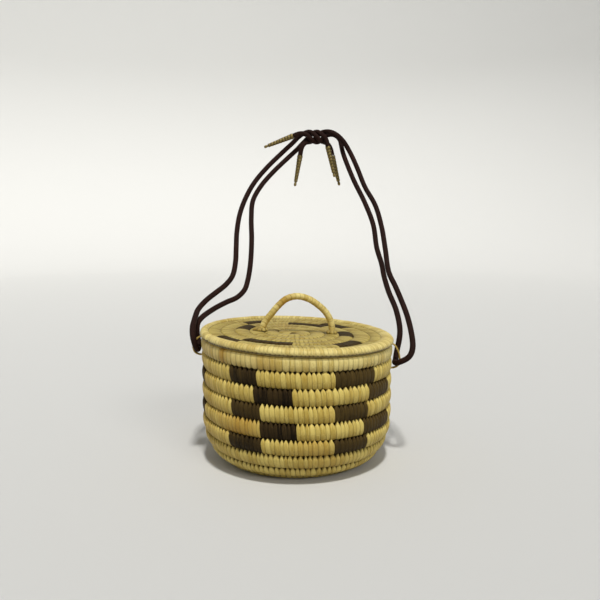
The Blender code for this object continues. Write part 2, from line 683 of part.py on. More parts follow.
def build_handle(frame, finish, lashing_finish):
    """Arch wound with splint, standing on the lid, with splint gathered round its feet."""
    floor = 2 * SEAT_GAP + LID_DISC_THICKNESS
    steps = 2 * HANDLE_WRAPS
    route = [(x * HANDLE_HALF_SPAN, 0, floor + z * HANDLE_HEIGHT) for x, z in HANDLE_OUTLINE]
    path = spaced_points(smooth_curve(route), steps + 1)
    sections = []
    for step, centre in enumerate(path):
        ahead = path[min(step + 1, steps)]
        behind = path[max(step - 1, 0)]
        along = Vector(ahead - behind).normalized()
        if step in (0, steps):
            along = Vector((0, 0, 1 if step == 0 else -1))
        across = Vector((0, 1, 0)).cross(along)
        radius = HANDLE_RADIUS - (HANDLE_WRAP_DEPTH if step % 2 else 0)
        section = []
        for side in range(HANDLE_SIDES):
            angle = 2 * math.pi * side / HANDLE_SIDES
            spoke = across * math.cos(angle) + Vector((0, 1, 0)) * math.sin(angle)
            section.append(Vector(centre) + spoke * radius)
        sections.append(section)
    bm = bmesh.new()
    loft(bm, sections)
    add_object("lid_handle", bm, finish, frame)
    build_lashing("handle_lashing_left", -HANDLE_HALF_SPAN, floor, frame, lashing_finish)
    build_lashing("handle_lashing_right", HANDLE_HALF_SPAN, floor, frame, lashing_finish)


def build_lashing(name, x, floor, frame, finish):
    """Splint gathered round a foot of the handle: a ring with a notch between its wraps."""
    inner = HANDLE_RADIUS + SEAT_GAP
    steps = 4 * LASHING_LOBES
    sections = []
    for step in range(steps):
        outer = inner + LASHING_WIDTH - (0 if step % 4 else LASHING_NOTCH)
        shoulder = 0.5 * (inner + outer)
        section = []
        for radius, height in ((inner, 0), (outer, 0), (outer, 0.5), (shoulder, 1), (inner, 1)):
            point = around(radius, 360 * step / steps, floor + LASHING_HEIGHT * height)
            point.x += x
            section.append(point)
        sections.append(section)
    bm = bmesh.new()
    loft(bm, sections, ring=True)
    add_object(name, bm, finish, frame)


def build_lid(straw, pale_straw, dark):
    """Everything that lifts off, carried by an empty on the sloping seat."""
    frame = bpy.data.objects.new("lid_seat", None)
    bpy.context.scene.collection.objects.link(frame)
    frame.location = (0, 0, RIM_TOP_HEIGHT)
    frame.rotation_euler = (0, LID_TILT, 0)
    disc = coil_shell(lid_surface, LID_START, LID_PITCH, LID_GROOVE_DEPTH, LID_DISC_THICKNESS,
                      (eye_column(LID_START, LID_PITCH, LID_EYE), 0), LID_SEAM_AZIMUTH,
                      (0.0, 1.0), 0.0, eye=True, upper_gap=0.5 * SEAT_GAP)
    add_object("lid_disc", disc, straw, frame)
    build_lid_rim_coil(frame, pale_straw)
    build_lid_flange(frame, straw)
    build_lid_pattern(frame, dark)
    build_handle(frame, pale_straw, straw)


def main():
    for obj in list(bpy.data.objects):
        bpy.data.objects.remove(obj)
    straw = ((0.56, 0.43, 0.17), 0.6)
    pale_straw = ((0.64, 0.51, 0.24), 0.55)
    dark = ((0.030, 0.022, 0.016), 0.5)
    cord = ((0.040, 0.014, 0.010), 0.7)
    brass = ((0.30, 0.22, 0.09), 0.4, 1.0)
    build_basket(straw)
    build_rim_coil(pale_straw)
    build_wall_pattern(dark)
    build_ear("ear_left", -1, EAR_LEFT_FORWARD, pale_straw)
    build_ear("ear_right", 1, 0.0, pale_straw)
    build_strap(cord, brass)
    build_lid(straw, pale_straw, dark)


main()
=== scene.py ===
"""Looks of a coiled basket with a lift-off lid and a knotted cord strap.

Every coil is a closed tube that is swept along its spiral, with one leaf-shaped bump for each
stitch of splint. Sizes are in metres, azimuths in degrees from the front (-Y) towards +X.
"""
import math

import bpy
import numpy as np
from mathutils import Matrix, Vector


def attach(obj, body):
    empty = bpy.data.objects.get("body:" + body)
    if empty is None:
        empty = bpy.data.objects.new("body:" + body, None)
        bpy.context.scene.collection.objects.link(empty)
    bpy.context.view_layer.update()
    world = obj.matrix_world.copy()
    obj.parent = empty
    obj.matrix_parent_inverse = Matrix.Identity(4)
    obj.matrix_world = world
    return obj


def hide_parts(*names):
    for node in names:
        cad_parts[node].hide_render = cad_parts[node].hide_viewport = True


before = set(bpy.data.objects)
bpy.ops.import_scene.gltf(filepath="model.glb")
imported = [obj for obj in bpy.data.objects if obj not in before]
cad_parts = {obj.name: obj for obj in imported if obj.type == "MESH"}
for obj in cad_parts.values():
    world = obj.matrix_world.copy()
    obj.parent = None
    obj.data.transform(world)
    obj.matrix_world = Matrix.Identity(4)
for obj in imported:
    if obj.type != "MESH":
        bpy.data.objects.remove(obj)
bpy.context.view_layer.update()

# Sizes that repeat the part's
WALL_RADIUS = 0.0885
FOOT_RADIUS = 0.0600
CORNER_HEIGHT = 0.0420
RIM_SEAT_HEIGHT = 0.0989
RIM_TOP_HEIGHT = 0.1112
COIL_PITCH = 0.0147
COIL_THICKNESS = 0.0085
WALL_TURNS = 6
WALL_SEAM_AZIMUTH = 180.0
WALL_BLOCK_PAIRS = ((-90, 20), (-21.5, 20), (44, 22), (120, 20), (180, 20))
LID_RADIUS = 0.0900
LID_THICKNESS = 0.0078
LID_DISC_THICKNESS = 0.0060
LID_PITCH = 0.0135
LID_EDGE_WIDTH = 0.0190
LID_COIL_MIDDLE = (-0.006, 0.002)
LID_START = LID_RADIUS - LID_EDGE_WIDTH - 0.5 * LID_PITCH
LID_TILT = math.radians(2.4)
LID_SEAM_AZIMUTH = -62.0
LID_OUTER_BLOCKS = ((-61, -38), (34, 60), (123, 148), (204, 231))
LID_INNER_BLOCKS = ((-42, 3), (78, 104), (137, 185), (235, 267))
FLANGE_CLEARANCE = 0.0030
FLANGE_OUTER = WALL_RADIUS - COIL_THICKNESS - FLANGE_CLEARANCE
FLANGE_WIDTH = 0.0065
FLANGE_DEPTH = 0.0085
SEAT_GAP = 0.0003
HANDLE_RADIUS = 0.0031
HANDLE_ROWS_IN = 2.35
HANDLE_HALF_SPAN = LID_START - HANDLE_ROWS_IN * LID_PITCH
HANDLE_HEIGHT = 0.0336
HANDLE_FLOOR = 2 * SEAT_GAP + LID_DISC_THICKNESS
HANDLE_OUTLINE = (
    (-1.0, 0.0), (-0.991, 0.11), (-0.908, 0.283), (-0.754, 0.487), (-0.585, 0.698),
    (-0.338, 0.918), (-0.031, 1.0), (0.292, 0.937), (0.585, 0.77), (0.815, 0.566),
    (0.954, 0.33), (1.0, 0.126), (1.0, 0.0))
CORD_DIAMETER = 0.0056
CORD_CLEARANCE = 0.0004
CORD_BEND_RADIUS = 0.0118
KNOT_START = (0.013, 0.190, 0.315)
KNOT_LENGTH = 0.018
KNOT_LAY_RADIUS = 0.0058
KNOT_STEPS = 6
TIP_LENGTH = 0.0360
TIP_MOUTH_RADIUS = 0.0033
TIP_END_RADIUS = 0.0021
TIP_BEAD_RADIUS = 0.0016
TIP_RIBS = 9
RIM_COIL_BULGE = 0.0006
EAR_TOP_MARGIN = 0.0010
EAR_FALL = 0.0052
EAR_SLACK = 1.2
EAR_THICKNESS = 0.0013
EAR_WIDTH = 0.0042
EAR_REACH = RIM_COIL_BULGE + CORD_DIAMETER + 2 * CORD_CLEARANCE + 0.5 * EAR_THICKNESS
EAR_DROPS = {-1: 0.0006, 1: 0.0066}
EAR_LEFT_FORWARD = 0.0024

# Sizes of the looks alone
PROFILE_TOP = 0.2224        # the wall's face is known up to here, past the rim
SLOPE_REACH = 0.0020        # the face's slope is taken over twice this length
SEAM_KEEL = 0.17            # of a row: its lower edge's middle goes this far into the row below
HALF_ROW = 0.52             # of a row, from its middle to its edges, which lap a little
EYE_TURNS = 0.45            # a coil starts this many turns inside its eye
EYE_RADIUS = 0.0040         # stitches keep their count per turn inside this radius
RIM_SEAM = 0.0007           # from the wall's last row up to the rim coil
LID_EDGE_TUBE = 0.0098      # width of the lid's round edge
LID_EDGE_LAP = 0.0008       # of the flat last row under the round edge
LID_EDGE_BLUNT = 0.0040     # over which the round edge's ends are rounded
EAR_EXTRA = 0.0004          # the sewn strands stand this far past the plain band's outer face

LID_FRAME = Matrix.Translation((0, 0, RIM_TOP_HEIGHT)) @ Matrix.Rotation(LID_TILT, 4, "Y")

# Camera
CAMERA_PLACE = (0.003, -0.6474, 0.234)
CAMERA_DROP = 7.58          # degrees that it looks down
camera_data = bpy.data.cameras.new("camera")
camera_data.sensor_width = 36.0
camera_data.lens = 42.0
camera = bpy.data.objects.new("camera", camera_data)
camera.location = CAMERA_PLACE
camera.rotation_euler = (math.radians(90 - CAMERA_DROP), 0, 0)
bpy.context.scene.collection.objects.link(camera)
bpy.context.scene.camera = camera


# Meshes
def make_mesh(name, points, faces, attributes=None):
    """Object from points and quads or other faces, with point attributes for its material."""
    mesh = bpy.data.meshes.new(name)
    mesh.from_pydata(points.tolist(), [], faces)
    mesh.validate()
    mesh.shade_smooth()
    for key, values in (attributes or {}).items():
        kind = "FLOAT_VECTOR" if values.ndim == 2 else "FLOAT"
        layer = mesh.attributes.new(key, kind, "POINT")
        layer.data.foreach_set("vector" if values.ndim == 2 else "value", values.ravel())
    obj = bpy.data.objects.new(name, mesh)
    bpy.context.scene.collection.objects.link(obj)
    return obj


def grid_faces(rows, columns, wrap_rows=False):
    """Quads of a grid of points, row after row. Each row is a closed ring."""
    i = np.arange(rows if wrap_rows else rows - 1)
    i, j = np.meshgrid(i, np.arange(columns), indexing="ij")
    i2 = (i + 1) % rows
    j2 = (j + 1) % columns
    quads = np.stack([i * columns + j, i * columns + j2, i2 * columns + j2, i2 * columns + j], -1)
    return quads.reshape(-1, 4).tolist()


def tube_object(name, sections, attributes=None, ring=False):
    """Closed tube through outlines of equal counts. A ring joins its last outline to its first."""
    count, sides = sections.shape[:2]
    faces = grid_faces(count, sides, wrap_rows=ring)
    if not ring:
        faces.append(list(range(sides))[::-1])
        faces.append([(count - 1) * sides + k for k in range(sides)])
    flat = {key: values.reshape(count * sides, *values.shape[2:])
            for key, values in (attributes or {}).items()}
    return make_mesh(name, sections.reshape(-1, 3), faces, flat)


def hash_noise(index, seed):
    """Fixed pseudo-random numbers from 0 to 1, one for each index."""
    value = np.sin(np.asarray(index, dtype=float) * 12.9898 + seed * 78.233) * 43758.5453
    return value - np.floor(value)


def into_lid(points):
    """From the lid's own frame to the row's."""
    matrix = np.array(LID_FRAME)
    return points @ matrix[:3, :3].T + matrix[:3, 3]


# Surfaces
class Profile:
    """Outer face of the basket from the middle of its underside to the rim, by length along it."""

    def __init__(self):
        turn = np.linspace(0, math.pi / 2, 200)
        run = WALL_RADIUS - FOOT_RADIUS
        self.r = np.concatenate([[0.0], FOOT_RADIUS + run * np.sin(turn), [WALL_RADIUS]])
        self.z = np.concatenate([[0.0], CORNER_HEIGHT * (1 - np.cos(turn)), [PROFILE_TOP]])
        steps = np.hypot(np.diff(self.r), np.diff(self.z))
        self.length = np.concatenate([[0.0], np.cumsum(steps)])

    def at(self, length):
        """Radius and height at a length along the face, and the two parts of its outward way."""
        r = np.interp(length, self.length, self.r)
        z = np.interp(length, self.length, self.z)
        low = np.maximum(length - SLOPE_REACH, 0)
        high = length + SLOPE_REACH
        dr = np.interp(high, self.length, self.r) - np.interp(low, self.length, self.r)
        dz = np.interp(high, self.length, self.z) - np.interp(low, self.length, self.z)
        size = np.hypot(dr, dz)
        return r, z, dz / size, -dr / size


PROFILE = Profile()
WALL_START = float(np.interp(RIM_SEAT_HEIGHT, PROFILE.z[1:], PROFILE.length[1:]))
WALL_START -= (WALL_TURNS + 0.5) * COIL_PITCH


def around(radius, azimuth, z):
    """Point at a radius, an azimuth and a height."""
    angle = np.radians(azimuth)
    return np.stack([radius * np.sin(angle), -radius * np.cos(angle), z + 0 * angle], axis=-1)


def wall_place(turns, share, lift):
    """Point of the basket's coil: turns along it, share across the row, lift off its face."""
    length = np.maximum(WALL_START + COIL_PITCH * (turns + share), 0)
    r, z, out_r, out_z = PROFILE.at(length)
    height = np.maximum(z + out_z * lift, 0)
    return around(r + out_r * lift, WALL_SEAM_AZIMUTH - 360 * turns, height)


def rim_place(turns, share, lift):
    """Point of the rim coil, which thins out along its length."""
    azimuth = WALL_SEAM_AZIMUTH - 360 * turns
    flat = around(WALL_RADIUS + 0 * turns, azimuth, 0 * turns)
    low = RIM_SEAT_HEIGHT + COIL_PITCH * (turns - WALL_TURNS - 0.5) + RIM_SEAM
    high = RIM_TOP_HEIGHT - math.tan(LID_TILT) * flat[..., 0]
    z = low + np.where(share > 0, high - low, COIL_PITCH) * share
    return around(WALL_RADIUS + RIM_COIL_BULGE + lift, azimuth, z)


def lid_spot(radius, azimuth, z):
    """Point of the lid. Its rows' middle lies off the lid's own, which its last row evens out."""
    share = np.clip((LID_RADIUS - radius) / (LID_RADIUS - LID_START), 0, 1)[..., None]
    return into_lid(around(radius, azimuth, z) + share * np.array([*LID_COIL_MIDDLE, 0.0]))


def lid_place(turns, share, lift):
    """Point of the lid's inner rows, which lie lower than its edge."""
    radius = np.maximum(LID_START + LID_PITCH * (turns + share), 0)
    z = SEAT_GAP + LID_DISC_THICKNESS + lift
    return lid_spot(radius, LID_SEAM_AZIMUTH - 360 * turns, z)


def lid_last_row_place(turns, share, lift):
    """Point of the flat part of the lid's last row, which narrows along its length."""
    low = LID_START + LID_PITCH * turns
    radius = low + (LID_RADIUS - LID_EDGE_TUBE + LID_EDGE_LAP - low) * share
    z = SEAT_GAP + LID_DISC_THICKNESS + lift
    return lid_spot(radius, LID_SEAM_AZIMUTH - 360 * turns, z)


def lid_edge_place(turns, share, lift):
    """Point of the lid's raised round edge."""
    radius = LID_RADIUS - LID_EDGE_TUBE * (1 - share) + 0 * lift
    z = SEAT_GAP + LID_THICKNESS + lift
    return lid_spot(radius, LID_SEAM_AZIMUTH - 360 * turns, z)


# Width of a stitch against the usual one: the least, and what is added to some
LEAST_WIDTH = 0.82
MORE_WIDTH = 0.36


def stitch_starts(first, last, radius_at, spacing, seed):
    """Where each stitch of a coil starts, in turns, for stitches of uneven width."""
    starts = [first]
    index = 0
    while starts[-1] < last:
        width = spacing * (LEAST_WIDTH + MORE_WIDTH * float(hash_noise(index, seed)))
        radius = max(radius_at(starts[-1]), EYE_RADIUS)
        starts.append(starts[-1] + width / (2 * math.pi * radius))
        index += 1
    starts[-1] = last
    return np.array(starts)


def wall_radius_at(turns):
    """Radius of the basket's coil in the middle of its row."""
    length = max(WALL_START + COIL_PITCH * (turns + 0.5), 0.0)
    return float(np.interp(length, PROFILE.length, PROFILE.r))


# Stitches in each turn of the wall, from its first
STITCH_COUNTS = (116, 124, 131, 124, 112, 115)
# How they drift along the coil: waves per turn, stitches, phase
STITCH_WAVES = ((1, 0.90, 2.8), (3, 0.30, 2.1), (7, 0.20, 1.9), (13, 0.10, 4.1), (23, 0.06, 0.7))
STITCH_SHIFT = 0.34         # of a stitch, by which each may start early or late


def wall_starts():
    """Stitches of the wall, which are finer in its middle rows."""
    turns = np.linspace(0, WALL_TURNS, 1000 * WALL_TURNS + 1)
    each_turn = np.interp(turns, np.arange(WALL_TURNS) + 0.5, STITCH_COUNTS)
    number = np.cumsum(each_turn) * (turns[1] - turns[0])
    for wave, size, phase in STITCH_WAVES:
        number = number + size * np.sin(2 * math.pi * wave * turns + phase)
    whole = np.arange(math.ceil(number[0]) + 1, math.floor(number[-1]))
    starts = np.interp(whole + STITCH_SHIFT * (hash_noise(whole, 3) - 0.5), number, turns)
    return np.concatenate([[0.0], starts, [float(WALL_TURNS)]])


# Stitched coils
# Places across one stitch, and how deep the groove is at each
FACE_SHARES = np.array([0.0, 0.05, 0.17, 0.34, 0.50, 0.66, 0.83, 0.95])
FACE_GROOVE = np.array([1.0, 0.42, 0.10, 0.0, 0.0, 0.0, 0.10, 0.42])
STITCH_RISE = 0.00020       # how far some stitches stand out past others
FIBRES = (540, 42, 40)      # scales along a turn, round the coil and from stitch to stitch


class Style:
    """How a coil's stitches look. Lengths are in metres."""

    def __init__(self, sides, round_face, gap, notch=0.0, peak=0.0, foot=0.0, slant=0.0,
                 tilt=0.0, seams=(1, 1), ochre=0.10, under=0.0, line=0.52):
        self.sides = sides              # of the tube
        self.round_face = round_face    # 1 is an ellipse, less is squarer
        self.gap = gap                  # depth of the groove between two stitches
        self.notch = notch              # how many times deeper that is at the upper seam
        self.peak = peak                # how far a stitch's tip reaches past the seam, of a row
        self.foot = foot                # the same at the lower seam
        self.slant = slant              # lean of a stitch, in its own widths
        self.tilt = tilt                # how far the upper edge stands out over the lower one
        self.seams = seams              # whether the lower, the upper edge meets another row
        self.ochre = ochre              # share of the stitches that are darker yellow
        self.under = under              # how dark the painted shade is along the underside's edges
        self.line = line                # how dark the painted shade line between two stitches is


def coil_outline(style):
    """Outline of a coil: how far out and up each point is, and its share of the two seams."""
    angle = 2 * math.pi * np.arange(style.sides) / style.sides
    out = np.sign(np.cos(angle)) * np.abs(np.cos(angle)) ** style.round_face
    up = np.sign(np.sin(angle)) * np.abs(np.sin(angle)) ** (0.5 + 0.5 * style.round_face)
    top = np.clip(up, 0, 1) ** 4
    bottom = np.clip(-up, 0, 1) ** 4
    return angle, out, up, top, bottom


def rounded_ends(sections, turns, blunt):
    """Outlines that shrink towards both ends of a piece of the lid's edge."""
    run = turns * 2 * math.pi * LID_RADIUS
    near_end = np.minimum(run - run[0], run[-1] - run) / blunt
    size = np.sqrt(1 - (1 - np.clip(near_end, 0.06, 1)) ** 2)[:, None, None]
    middle = sections.mean(axis=1, keepdims=True)
    return middle + (sections - middle) * size


def painted_shade_share(style, groove, out, up, top, bottom):
    """Painted shade between the stitches, along both seams, under the row and on its underside."""
    lower, upper = style.seams
    hollow = groove * (style.line + 0.90 * upper * top + 0.60 * lower * bottom)
    hollow = hollow + upper * np.clip(up - 0.95, 0, 1) * 14
    hollow = hollow + lower * np.clip(-up - 0.80, 0, 1) * 4.5
    hollow = hollow + 0.32 * lower * np.clip(0.25 - up, 0, 1.2)
    seam_line = np.clip(-2.2 * out - 0.3, 0, 1) * np.clip((out + 0.85) / 0.25, 0, 1)
    hollow = hollow + style.under * (0.34 * np.clip(0.6 - out, 0, 1) + seam_line)
    return np.clip(hollow, 0, 1)


def aged_share(style, stitch, turns, weather):
    """Share of the aged colour: groups of four stitches here and there, and the weather's."""
    cluster = hash_noise(stitch // 4, 14)[:, None]
    aged = np.where(cluster > 1 - style.ochre, 0.35 + 0.65 * hash_noise(stitch, 15)[:, None], 0)
    if weather:
        aged = np.maximum(aged, weather(turns)[:, None])
    return aged


def stitched_coil(name, place, starts, thickness, style, chosen=None, blunt=0.0, aged=None,
                  weather=None):
    """Closed tube along a coil with one bump for each stitch.

    chosen is the range of turns to make, blunt the length over which both ends are rounded,
    aged a fixed share of the aged colour, and weather a function of turns that adds to it.
    """
    first = starts[:-1]
    width = np.diff(starts)
    index = np.arange(len(first))
    if chosen is not None:
        middle = first + 0.5 * width
        keep = (middle > chosen[0]) & (middle < chosen[1])
        first, width, index = first[keep], width[keep], index[keep]
    steps = len(FACE_SHARES)
    turns = (first[:, None] + width[:, None] * FACE_SHARES).ravel()
    turns = np.append(turns, first[-1] + width[-1])
    stitch = np.append(np.repeat(index, steps), index[-1])
    share = np.append(np.tile(FACE_SHARES, len(first)), 1.0)[:, None]
    groove = np.append(np.tile(FACE_GROOVE, len(first)), 1.0)[:, None]
    line_width = np.append(np.repeat(width, steps), width[-1])[:, None]
    angle, out, up, top, bottom = coil_outline(style)

    tone = hash_noise(stitch, 11)[:, None]
    high = hash_noise(stitch, 12)[:, None] - 0.5
    reach = 0.7 + 0.6 * hash_noise(stitch, 13)[:, None]
    tooth = 1 - 2 * np.abs(2 * share - 1)

    across = 0.5 + HALF_ROW * up + reach * tooth * (style.peak * top - style.foot * bottom)
    if style.seams[0]:
        lowest = up < -0.999
        across = across - SEAM_KEEL * lowest
    lift = 0.5 * thickness * (out - 1) + style.tilt * np.where(out > 0, up, 0)
    lift = lift - style.gap * groove * (1 + style.notch * top) * out
    lift = lift + STITCH_RISE * high * out
    lean = style.slant * line_width * up * np.where(out >= 0, 1, -1)
    sections = place(turns[:, None] + lean, across, lift)
    if blunt:
        sections = rounded_ends(sections, turns, blunt)

    shape = (len(turns), style.sides)
    fibre = np.zeros((*shape, 3))
    fibre[..., 0] = (turns - turns[0])[:, None] * FIBRES[0]
    fibre[..., 1] = angle / (2 * math.pi) * FIBRES[1]
    fibre[..., 2] = tone * FIBRES[2]
    if aged is None:
        aged = aged_share(style, stitch, turns, weather)
    # Painted light and shade: the tone is raised on the upper part of each row and lowered on its
    # lower part
    painted_row_light = 0.55 * np.clip(up, 0, 1) ** 2 - 0.40 * np.clip(-up, 0, 1)
    attributes = {"tone": np.broadcast_to(tone + style.seams[0] * painted_row_light, shape), "fibre": fibre,
                  "hollow": painted_shade_share(style, groove, out, up, top, bottom),
                  "aged": np.broadcast_to(aged, shape)}
    return tube_object(name, sections, attributes)


# Materials
class Nodes:
    """Short way to build a material's node tree."""

    def __init__(self, name):
        self.material = bpy.data.materials.new(name)
        self.material.use_nodes = True
        self.tree = self.material.node_tree
        self.shader = self.tree.nodes["Principled BSDF"]

    def new(self, kind, settings=None, **inputs):
        node = self.tree.nodes.new(kind)
        for key, value in (settings or {}).items():
            setattr(node, key, value)
        for key, value in inputs.items():
            self.put(node.inputs[key.replace("_", " ")], value)
        return node

    def put(self, socket, value):
        if hasattr(value, "is_output"):
            self.tree.links.new(value, socket)
        elif hasattr(value, "outputs"):
            self.tree.links.new(value.outputs[0], socket)
        else:
            socket.default_value = value

    def attribute(self, name, output="Fac"):
        return self.new("ShaderNodeAttribute", {"attribute_name": name}).outputs[output]

    def math(self, operation, a, b=0.0, clamp=False):
        node = self.new("ShaderNodeMath", {"operation": operation, "use_clamp": clamp})
        self.put(node.inputs[0], a)
        self.put(node.inputs[1], b)
        return node.outputs[0]

    def stretched(self, vector, scale):
        node = self.new("ShaderNodeVectorMath", {"operation": "MULTIPLY"})
        self.put(node.inputs[0], vector)
        node.inputs[1].default_value = scale
        return node.outputs[0]

    def noise(self, vector, scale, detail=3.0, rough=0.55):
        node = self.new("ShaderNodeTexNoise", Scale=scale, Detail=detail, Roughness=rough)
        self.put(node.inputs["Vector"], vector)
        return node.outputs["Fac"]

    def spread(self, value, low, high, to_low=0.0, to_high=1.0):
        node = self.new("ShaderNodeMapRange")
        for key, number in (("Value", value), ("From Min", low), ("From Max", high),
                            ("To Min", to_low), ("To Max", to_high)):
            self.put(node.inputs[key], number)
        return node.outputs[0]

    def mix(self, factor, a, b):
        node = self.new("ShaderNodeMix", {"data_type": "RGBA"})
        self.put(node.inputs[0], factor)
        for socket, value in ((node.inputs[6], a), (node.inputs[7], b)):
            self.put(socket, (*value, 1.0) if isinstance(value, tuple) else value)
        return node.outputs[2]

    def bump(self, height, strength, distance):
        node = self.new("ShaderNodeBump", Strength=strength, Distance=distance)
        self.put(node.inputs["Height"], height)
        self.put(self.shader.inputs["Normal"], node)


FINE_FIBRES = (2.9, 0.16, 1.0)      # how a splint's fibres are stretched along a stitch
BROAD_FIBRES = (0.85, 0.07, 1.0)
FOOT_SHADE_HEIGHT = 0.045            # the splint gets painted shade below this height
FOOT_SHADE_SHARE = 0.30                    # share of painted shade on the floor


def splint_material(name, pale, deep, aged, dirt_and_shade, rough, gloss=0.30):
    """Plant splint: fibres along each stitch, a tone of its own with painted light and shade, aged
    stitches, dirt specks, and painted shade in the gaps and towards the foot.
    """
    n = Nodes(name)
    fibre = n.attribute("fibre", "Vector")
    tone = n.attribute("tone")
    hollow = n.attribute("hollow")
    old = n.attribute("aged")
    place = n.new("ShaderNodeTexCoord").outputs["Object"]
    fine = n.noise(n.stretched(fibre, FINE_FIBRES), 1.0, 4.0, 0.6)
    strand = n.noise(n.stretched(fibre, BROAD_FIBRES), 1.0, 2.0)
    patches = n.noise(place, 30.0, 3.0, 0.6)
    specks = n.noise(place, 900.0, 2.0, 0.7)
    mixed = n.math("ADD", n.math("MULTIPLY", tone, 0.42), n.math("MULTIPLY", strand, 0.80))
    mixed = n.math("ADD", mixed, n.math("MULTIPLY", n.math("SUBTRACT", fine, 0.5), 1.3))
    color = n.mix(n.spread(mixed, 0.34, 0.88), deep, pale)
    ageing = n.math("ADD", n.spread(patches, 0.56, 0.80, 0.0, 0.55),
                    n.math("MULTIPLY", old, n.spread(strand, 0.3, 0.7, 0.6, 1.0)), clamp=True)
    color = n.mix(ageing, color, aged)
    color = n.mix(n.spread(specks, 0.62, 0.75, 0.0, 0.25), color, dirt_and_shade)
    height = n.new("ShaderNodeSeparateXYZ", Vector=place).outputs["Z"]
    # Painted shade: the splint is darker towards the foot
    color = n.mix(n.spread(height, 0.0, FOOT_SHADE_HEIGHT, FOOT_SHADE_SHARE, 0.0), color, dirt_and_shade)
    # Painted shade in the gaps between stitches, along the seams and under the rows
    color = n.mix(n.math("POWER", hollow, 1.15), color, dirt_and_shade)
    n.put(n.shader.inputs["Base Color"], color)
    n.put(n.shader.inputs["Roughness"], n.spread(fine, 0.2, 0.8, rough - 0.1, rough + 0.14))
    n.shader.inputs["Specular IOR Level"].default_value = gloss
    height = n.math("ADD", n.math("MULTIPLY", fine, 0.7), n.math("MULTIPLY", strand, 0.5))
    n.bump(height, 0.5, 0.0005)
    return n.material


def cord_material():
    """Braided cord: each bundle of threads has its own tone, with painted shade between the
    bundles.
    """
    n = Nodes("strap_cord_braid")
    fibre = n.attribute("fibre", "Vector")
    hollow = n.attribute("hollow")
    place = n.new("ShaderNodeTexCoord").outputs["Object"]
    threads = n.noise(fibre, 5.0, 3.0, 0.65)
    worn = n.noise(place, 60.0, 3.0, 0.6)
    color = n.mix(n.spread(threads, 0.3, 0.75), (0.010, 0.0030, 0.0018), (0.036, 0.011, 0.0065))
    color = n.mix(n.spread(worn, 0.5, 0.8, 0.0, 0.5), color, (0.050, 0.017, 0.010))
    # Painted shade between the bundles
    color = n.mix(hollow, color, (0.004, 0.0015, 0.001))
    n.put(n.shader.inputs["Base Color"], color)
    n.shader.inputs["Roughness"].default_value = 0.78
    n.shader.inputs["Specular IOR Level"].default_value = 0.16
    n.bump(threads, 0.5, 0.0003)
    return n.material


def brass_material():
    """Aged brass: brown tarnish in the grooves, brighter where it is rubbed."""
    n = Nodes("aged_brass")
    hollow = n.attribute("hollow")
    place = n.new("ShaderNodeTexCoord").outputs["Object"]
    stain = n.noise(place, 420.0, 4.0, 0.65)
    color = n.mix(n.spread(stain, 0.35, 0.7), (0.36, 0.275, 0.105), (0.17, 0.125, 0.050))
    color = n.mix(hollow, color, (0.055, 0.040, 0.018))
    n.put(n.shader.inputs["Base Color"], color)
    n.shader.inputs["Metallic"].default_value = 1.0
    n.put(n.shader.inputs["Roughness"], n.spread(stain, 0.3, 0.7, 0.34, 0.56))
    n.bump(stain, 0.15, 0.0002)
    return n.material


# Colours of each splint: its palest and deepest tone, aged, and the dark colour of its dirt specks
# and painted shade
STRAW_COLORS = ((0.76, 0.600, 0.165), (0.47, 0.320, 0.050),
                (0.45, 0.250, 0.028), (0.030, 0.016, 0.003))
RIM_COLORS = ((0.84, 0.700, 0.270), (0.56, 0.405, 0.092),
              (0.45, 0.250, 0.028), (0.030, 0.016, 0.003))
LID_COLORS = ((0.56, 0.445, 0.128), (0.34, 0.240, 0.046),
              (0.37, 0.210, 0.028), (0.060, 0.038, 0.009))
DARK_COLORS = ((0.046, 0.028, 0.009), (0.005, 0.0026, 0.001),
               (0.108, 0.069, 0.017), (0.0015, 0.0008, 0.0004))
STRAW = splint_material("straw_stitches", *STRAW_COLORS, rough=0.56)
RIM_STRAW = splint_material("rim_stitches", *RIM_COLORS, rough=0.48)
LID_STRAW = splint_material("lid_stitches", *LID_COLORS, rough=0.54)
DARK = splint_material("dark_stitches", *DARK_COLORS, rough=0.56, gloss=0.08)
CORD = cord_material()
BRASS = brass_material()


def dress(piece, material, body, node):
    """Material and body of a piece; hides the CAD node that it stands for."""
    piece.data.materials.append(material)
    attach(piece, body)
    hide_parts(node)
    return piece


# Strap
CURVE_STEPS = 24            # between two points of a route
CORD_STEP = 0.0006          # between two outlines of a cord
CORD_SIDES = 32
BRAID_BUNDLES = 4           # each way round the cord
BRAID_TURNS = 0.95          # of a bundle in one diameter of length
BRAID_DEPTH = 0.085         # of the cord's radius
TIP_SIDES = 28
TIP_RIB_DEPTH = 0.00055
TIP_RIB_STEPS = 8
TIP_BEAD_STEPS = 12
TIP_MOUTH = ((0.0022, 0.8), (0.0031, 0.2))  # radius and dirt of its inner and outer edge


def millimetres(*points):
    """Points given in millimetres."""
    return [Vector(point) / 1000 for point in points]


def smooth_curve(route):
    """A fine smooth curve through the route's points."""
    points = [np.array(p, dtype=float) for p in route]
    points = [2 * points[0] - points[1]] + points + [2 * points[-1] - points[-2]]
    fine = []
    for a, b, c, d in zip(points, points[1:], points[2:], points[3:]):
        k1 = np.linalg.norm(b - a) ** 0.5
        k2 = np.linalg.norm(c - b) ** 0.5
        k3 = np.linalg.norm(d - c) ** 0.5
        for t in np.linspace(0, 1, CURVE_STEPS, endpoint=False):
            s = k1 + t * k2
            ab = a + (b - a) * s / k1
            bc = b + (c - b) * (s - k1) / k2
            cd = c + (d - c) * (s - k1 - k2) / k3
            abc = ab + (bc - ab) * s / (k1 + k2)
            bcd = bc + (cd - bc) * (s - k1) / (k2 + k3)
            fine.append(abc + (bcd - abc) * (s - k1) / k2)
    fine.append(points[-2])
    return np.array(fine)


